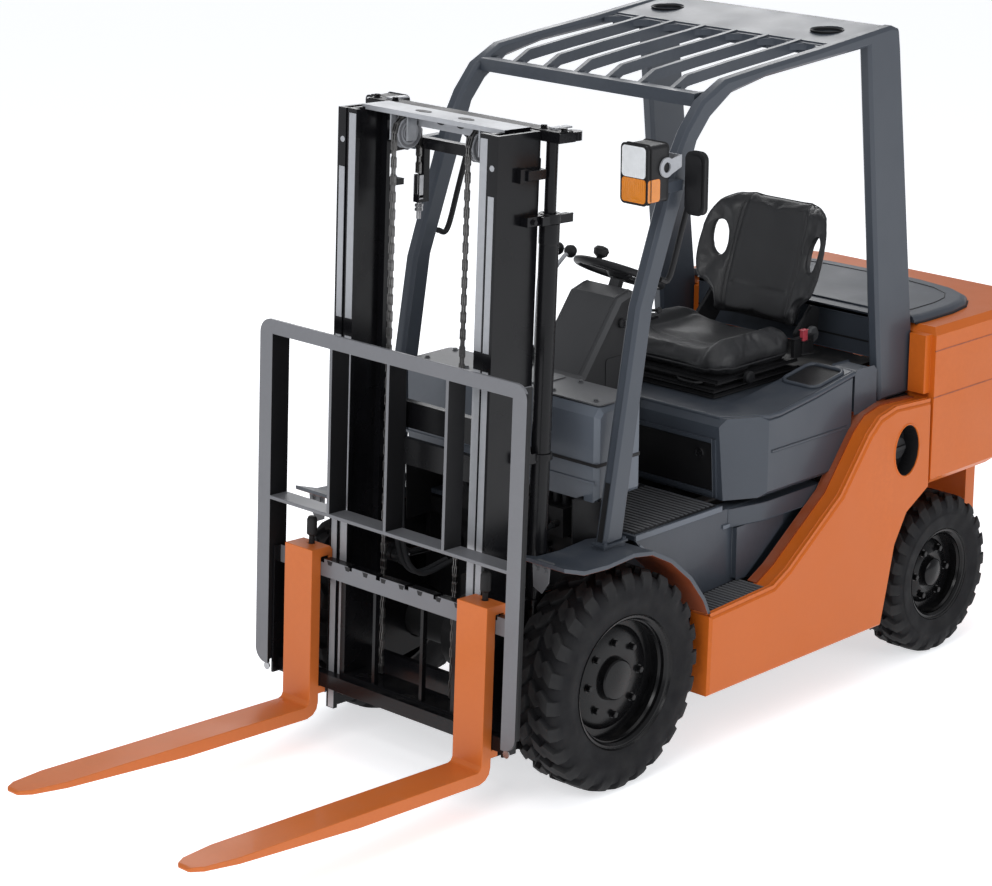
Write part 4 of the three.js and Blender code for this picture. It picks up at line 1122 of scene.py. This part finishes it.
def panel_details():
    top = [(840, 447), (1141, 461), (1217, 499), (1474, 681), (1614, 852), (1667, 894), (1749, 912),
           (1930, 901)]

    detail("side_panel_lips", ORANGE, "chassis", lambda bm: strip(bm, top, 552, 567, -7), 2.4, 3, both=True)
    # The inboard flange strips take the darker orange: painted shade.
    detail("side_panel_flanges", ORANGE_SHADE, "chassis",
           lambda bm: strip(bm, [(y, z - 2) for y, z in top[1:]], 466, 500, -5), 0.8, 1, both=True)

    def pocket(bm):
        prism(bm, "X", oval(*FILLER, 63, 84, 32), 511.5, 513.5)
        wall, lining = oval(*FILLER, 65.4, 86.4, 32), oval(*FILLER, 62, 83, 32)
        for k in range(32):
            j = (k + 1) % 32
            prism(bm, "X", [wall[k], wall[j], lining[j], lining[k]], 512, 569)

    detail("filler_pocket", PLASTIC, "chassis", pocket)

    def rim(bm):
        tube(bm, [(571, y, z) for y, z in oval(*FILLER, 67, 88, 40)], 3.4, 8, steps=1, loop=True)

    detail("filler_rim", ORANGE, "chassis", rim)


def hood_details():
    def panel(bm):
        prism(bm, "X", [(1073.4, 748), (1063.6, 902), (1069, 902), (1079, 748)], -372, 372)

    detail("hood_front_panel", PLASTIC, "hood", panel, 0.8)

    def frame_bars(bm):
        prism(bm, "X", [(1070.6, 730), (1069.6, 746), (1078, 746), (1080, 730)], -383, 383)
        prism(bm, "X", [(1059.6, 904), (1058.6, 918), (1066, 918), (1068, 904)], -383, 383)
        for x in (-386, 372):
            prism(bm, "X", [(1070.6, 730), (1058.6, 918), (1066, 918), (1078, 730)], x, x + 14)

    detail("hood_front_frame", GREY, "hood", frame_bars, 1.5)

    def ring(bm):
        lathe(bm, "Y", [(9, 1062), (16, 1062), (16, 1068), (9, 1068)], (318, 0, 862), 24)
        lathe(bm, "Y", [(1, 1064), (7, 1064), (7, 1068), (1, 1068)], (318, 0, 862), 16, ring=False)

    detail("hood_latch", CHROME, "hood", ring)

    def rim(bm):
        side = [(476, 1632, 1034), (476, 1440, 1003), (476, 1262, 981), (474, 1212, 980), (384, 1088, 980)]
        line = side + [(-x, y, z) for x, y, z in reversed(side)]
        tube(bm, line, 8, 12, steps=1)

    detail("hood_rim", GREY, "hood", rim)

    def on_deck(y, lift):
        return 1007 + (y - 1440) * 0.165 + lift

    # The recess in the hood deck is drawn as a flat black plate: painted shade for its dark inside.
    def tray(bm):
        prism(bm, "X", [(1472, on_deck(1472, -1)), (1616, on_deck(1616, -1)), (1616, on_deck(1616, 1.4)),
                        (1472, on_deck(1472, 1.4))], 318, 448)

    detail("hood_tray", PLASTIC, "hood", tray, 0.6)

    def tray_lip(bm):
        tube(bm, [(x, y, on_deck(y, 3)) for x, y in rounded(312, 454, 1466, 1622, 30, 6)], 7, 10, steps=1,
             loop=True)

    detail("hood_tray_lip", GREY, "hood", tray_lip)

    detail("seat_suspension", PLASTIC, "hood", boxes(
        (-232, 232, 1236, 1652, 984, 997),
        (-224, 224, 1244, 1646, 996, 1003),
        (-234, 234, 1232, 1654, 1002, 1012.4)), 2.5)

    def corner(bm):
        prism(bm, "X", [(1646, 902), (1646, 1030), (1656, 1038), (1736, 1036), (1748, 1024), (1752, 914),
                        (1740, 905)], 376, 478)

    detail("hood_rear_corners", GREY, "chassis", corner, 12, 4, both=True)

    detail("hood_crease", GREY, "hood", boxes((479.4, 482.6, 1222, 1600, 862, 870)), 1.2, both=True)


def guard_details():
    line = [(455, 750), (581, 1430), (741, 1851), (787, 1927), (857, 2005), (962, 2055)]
    detail("guard_front_grooves", PLASTIC, "chassis", lambda bm: strip(bm, line, 447, 467, -1.6), 0.5, 1,
           both=True)

    def plates(bm):
        box(bm, 436, 486, 440, 546, 741.2, 747)
        for y in (452, 534):
            bolt(bm, (478, y, 747), (0, 0, 1), 8, 6)

    detail("pillar_feet", GREY, "chassis", plates, 1.5, both=True)

    def rings(bm):
        for x in (-335, 320):
            lathe(bm, "Z", [(46, 2108), (53, 2108), (56, 2116), (53, 2118), (46, 2114)], (x, 1640, 0), 40)
            lathe(bm, "Z", [(1, 2098), (52, 2098), (52, 2101), (1, 2101)], (x, 1640, 0), 32, ring=False)

    detail("roof_ports", PLASTIC, "chassis", rings)

    def fillets(bm):
        slats = (-432, -320, -192, -64, 64, 192, 320, 432)
        for left, right in zip(slats, slats[1:]):
            for x, sign in ((left + 7, 1), (right - 7, -1)):
                for y0, z0, way, reach in ((903, 2002, 1, 44), (1482, 2074, -1, 52)):
                    arc = [(x + sign * reach * (1 - math.sin(a)), y0 + way * reach * (1 - math.cos(a)))
                           for a in (math.pi / 2 * k / 8 for k in range(9))]
                    prism(bm, "Z", [(x, y0)] + arc, z0, z0 + 20)

    detail("roof_slot_ends", GREY, "chassis", fillets)

    def handle(bm):
        tube(bm, [(457, 700, 1500), (457, 742, 1498), (457, 790, 1620), (457, 838, 1760), (457, 826, 1790)],
             9, 12)

    detail("grab_handles", PLASTIC, "chassis", handle, both=True)


def rear_details():
    plan = [(-572, 1943), (-572, 2290), (-560, 2352), (-525, 2430), (-470, 2510), (-420, 2555), (-360, 2585)]
    plan += [(-x, y) for x, y in reversed(plan)]

    def groove(bm, low, high, out):
        outer = [(x + (out if x > 0 else -out), y + (out if y > 2400 else 0)) for x, y in plan]
        inner = [(x - (3 if x > 0 else -3), y - (3 if y > 2400 else 0)) for x, y in plan]
        n = len(plan)
        for k in range(n - 1):
            prism(bm, "Z", [outer[k], outer[k + 1], inner[k + 1], inner[k]], low, high)

    def grooves(bm):
        groove(bm, 908, 912, 0.7)
        groove(bm, 1064, 1068, 0.7)

    # The crease grooves take the darker orange: painted shade in the creases.
    detail("counterweight_creases", ORANGE_SHADE, "chassis", grooves)

    def duct(bm):
        for z in (694, 962):
            box(bm, -176, 176, 2583, 2588, z - 6, z + 6)
        for x in (-176, 176):
            box(bm, x - 6, x + 6, 2583, 2588, 688, 968)

    detail("duct_frame", PLASTIC, "chassis", duct, 1.5)

    half = [(478, 1950), (486, 1990), (484, 2150), (466, 2250), (424, 2320), (340, 2368), (200, 2392),
            (0, 2398)]
    edge = half + [(-x, y) for x, y in reversed(half[:-1])]

    def cover(bm):
        levels = [(1140.6, 1.0), (1150, 1.0), (1160, 0.985), (1166, 0.955)]
        loft(bm, [[(x * k, 1950 + (y - 1950) * k, z) for x, y in edge] for z, k in levels])
        box(bm, -396, 396, 1900, 1956, 1141, 1160)
        box(bm, -396, 396, 1900, 1910.5, 1013, 1156)

    detail("radiator_cover_top", GREY, "chassis", cover, 3, 3, replaces="radiator_cover")

    def seam(bm):
        tube(bm, [(x * 0.86, 1985 + (y - 1950) * 0.78, 1166) for x, y in edge], 2.2, 8, steps=1)
        tube(bm, [(x * 1.003, y + 1, 1141) for x, y in edge], 3, 8, steps=1)
        box(bm, -394, 394, 1898.6, 1900.6, 1060, 1066)

    detail("cover_seams", PLASTIC, "chassis", seam)

    def tow(bm):
        lathe(bm, "Z", [(1, 372), (15, 372), (15, 512), (24, 516), (24, 528), (1, 532)], (0, 2535, 0), 20,
              ring=False)

    detail("tow_pin", BOLT, "chassis", tow)


def control_details():
    def column_trim(bm):
        prism(bm, "X", [(768, 1129), (926, 1339), (984, 1356), (1084, 1305), (1080, 1300), (984, 1346),
                        (930, 1330), (776, 1122)],
              -84, 84)

    detail("column_trim", GREY_PLASTIC, "chassis", column_trim, 1.5)

    def stalk(bm):
        lathe(bm, "X", [(1, 106), (15, 106), (15, 116), (11, 120), (1, 120)], (0, 930, 1262), 20, ring=False)
        tube(bm, [(112, 1000, 1262), (150, 1004, 1268), (196, 1006, 1286)], 5, 10)
        prism(bm, "X", rounded(860, 960, 1050, 1160, 12, 4), 107.6, 110)

    detail("column_switches", PLASTIC, "chassis", stalk, 0.6, 1)
    detail("ignition_key", BOLT, "chassis",
           lambda bm: prism(bm, "Y", rounded(120, 132, 1252, 1272, 3, 3), 928, 931), 0.4, 1)
    tilt = Matrix.Translation((0, 1040, 1385)) @ Matrix.Rotation(-WHEEL_TILT, 4, "X")
    bm = bmesh.new()
    tube(bm, [(137 * math.cos(a), 137 * math.sin(a), 0) for a in (2 * math.pi * k / 64 for k in range(64))],
         12, 14, steps=1, loop=True)
    lathe(bm, "Z", [(1, -20), (28, -20), (40, -6), (40, 4), (34, 13), (26, 16), (1, 16)], (0, 0, 0), 32,
          ring=False)
    for degrees in (90, 210, 330):
        a = math.radians(degrees)
        along, across = Vector((math.cos(a), math.sin(a), 0)), Vector((-math.sin(a), math.cos(a), 0))
        rows = []
        for reach, half, low, high in ((24, 17, -6, 6), (60, 12, -5, 2), (100, 10, -4, 2), (132, 14, -4, 4)):
            section = ((-half, low), (half, low), (half, high), (-half, high))
            rows.append([along * reach + across * w + Vector((0, 0, h)) for w, h in section])
        loft(bm, rows)
    piece("steering_wheel_grip", bm, PLASTIC, "steering_wheel", TRUCK @ tilt, "steering_wheel", 40)
    for name, x in (("lift_lever", -215), ("tilt_lever", -270)):
        bm = bmesh.new()
        tube(bm, [(x, 950, 1089), (x, 956, 1220), (x, 970, 1351), (x, 1016, 1401), (x, 1040, 1410)], 6.5, 12)
        piece(name + "_stem", bm, STRIP, name, TRUCK, name)
        bm = bmesh.new()
        lathe(bm, "Z", [(1, -21), (9, -19), (17, -12), (21, 0), (19, 10), (12, 18), (1, 21)],
              (x, 1050, 1415), 24, ring=False)
        piece(name + "_knob", bm, PLASTIC, name, TRUCK, (), 60)
        bm = bmesh.new()
        lathe(bm, "Z", [(9, 1084), (26, 1084), (24, 1092), (19, 1100), (20, 1108), (17, 1114), (14, 1114)],
              (x, 950, 0), 24)
        piece(name + "_boot", bm, MAT, "chassis", TRUCK)


def load_details():
    def notches(bm):
        for i in range(12):
            x = -420 + i * 76.4
            if abs(abs(x) - 364) > 70:
                prism(bm, "Y", [(x - 12, 601.5), (x - 7, 588), (x + 7, 588), (x + 12, 601.5)], 38.75, 39.6)

    detail("carriage_notches", PLASTIC, "carriage", notches, place=MAST)

    def bolts(bm):
        for x in (-508, 508):
            for z in (560, 590, 215):
                bolt(bm, (x, 9.6, z), (0, 1, 0), 9, 6)
        for z in (235, 565):
            bolt(bm, (492.2, 40, z), (1, 0, 0), 9, 7)
            bolt(bm, (-492.2, 40, z), (-1, 0, 0), 9, 7)

    detail("backrest_bolts", BOLT, "carriage", bolts, place=MAST)

    def tilt_caps(bm):
        for x in (-275, 275):
            lathe(bm, "X", [(14.2, x - 17), (20, x - 17), (20, x - 14), (14.2, x - 14)], (0, 345, 560), 24)

    detail("tilt_pin_washers", BOLT, "mast_outer", tilt_caps, place=MAST)


# ------------------------------------------------------------------ everything else from the CAD, refined
def refined_nodes():
    simple = {
        "chassis_frame": BLACK_STEEL, "drive_axle": CAST, "engine": CAST, "radiator": BLACK_STEEL,
        "fuel_tank": BLACK_STEEL,
        "floor_plate": GREY, "steer_axle": CAST, "knuckle_left": CAST, "knuckle_right": CAST,
        "side_panel_left": ORANGE, "side_panel_right": ORANGE, "counterweight": ORANGE,
        "front_cowl": COWL, "guard_side_left": GREY, "guard_side_right": GREY,
        "guard_roof": GREY, "engine_hood": GREY,
        "spinner_knob": PLASTIC,
        "direction_lever": PLASTIC, "accelerator_pedal": MAT, "brake_pedal": MAT, "fuel_cap": PLASTIC,
        "lift_cylinder_left": BLACK_GLOSS, "lift_cylinder_right": BLACK_GLOSS,
        "chain_sheave_left": STRIP, "chain_sheave_right": STRIP,
        "fork_pin_left": CAST, "fork_pin_right": CAST, "fork_left": FORK_PAINT, "fork_right": FORK_PAINT,
        "tilt_cylinder_left": BLACK_GLOSS, "tilt_cylinder_right": BLACK_GLOSS, "tilt_rod_left": CHROME,
        "tilt_rod_right": CHROME,
    }
    wide = {"fork_left": 3.5, "fork_right": 3.5, "guard_side_left": 16, "guard_side_right": 16,
            "counterweight": 10,
            "side_panel_left": 6, "side_panel_right": 6, "front_cowl": 8, "engine_hood": 8,
            "spinner_knob": 1}
    for node, material in simple.items():
        refine(node, material, wide.get(node, 2.0), 5 if "guard_side" in node else 3 if node in wide else 2)
    forward = (MAST.to_3x3() @ Vector((0, -1, 0))).normalized()

    def mast_faces(centre, normal):
        station = centre.y + STATION_ZERO
        top_beam = centre.z > 1915 and abs(centre.x) < 249 and station < 318
        return 1 if top_beam else 0

    refine("outer_mast", BLACK_GLOSS)
    refine("inner_mast", [BLACK_GLOSS, STRIP], 2.0, 2, 28, mast_faces)

    # Downward faces of the fenders take the darker orange: painted shade under the fenders.
    def fender_shade_faces(centre, normal):
        return 1 if normal.z < -0.25 else 0

    for word, _ in SIDES:
        refine(f"fender_{word}", [GREY, ORANGE_SHADE], 3, 3, 28, fender_shade_faces)

    def column_faces(centre, normal):
        return 1 if abs(centre.x) < 104 and (normal.z > 0.2 or normal.y < -0.5) else 0

    refine("steering_column", [PLASTIC, GREY_PLASTIC], 3, 3, 28, column_faces)

    def bar_faces(centre, normal):
        return 1 if normal.dot(forward) > 0.9 and abs(centre.x) < 484 and 540 < centre.z < 612 else 0

    refine("fork_carriage", [BLACK_GLOSS, BACKREST], 2.0, 2, 28, bar_faces)

    # Backrest faces turned away from the front and from above are painted black steel: painted shade on its
    # sides and back.
    def backrest_faces(centre, normal):
        return 0 if normal.dot(forward) > 0.5 or normal.z > 0.5 else 1

    refine("load_backrest", [BACKREST, BLACK_STEEL], 1.5, 2, 28, backrest_faces)


camera()
studio()
wheels()
seat_cushion()
seat_backrest()
refined_nodes()
mast_details()
for side_word, side_sign in SIDES:
    leaf_chain(side_word, side_sign)
lamps()
cowl_details()
bulkhead()
floor_details()
fender_flaps()
panel_details()
hood_details()
guard_details()
rear_details()
control_details()
load_details()
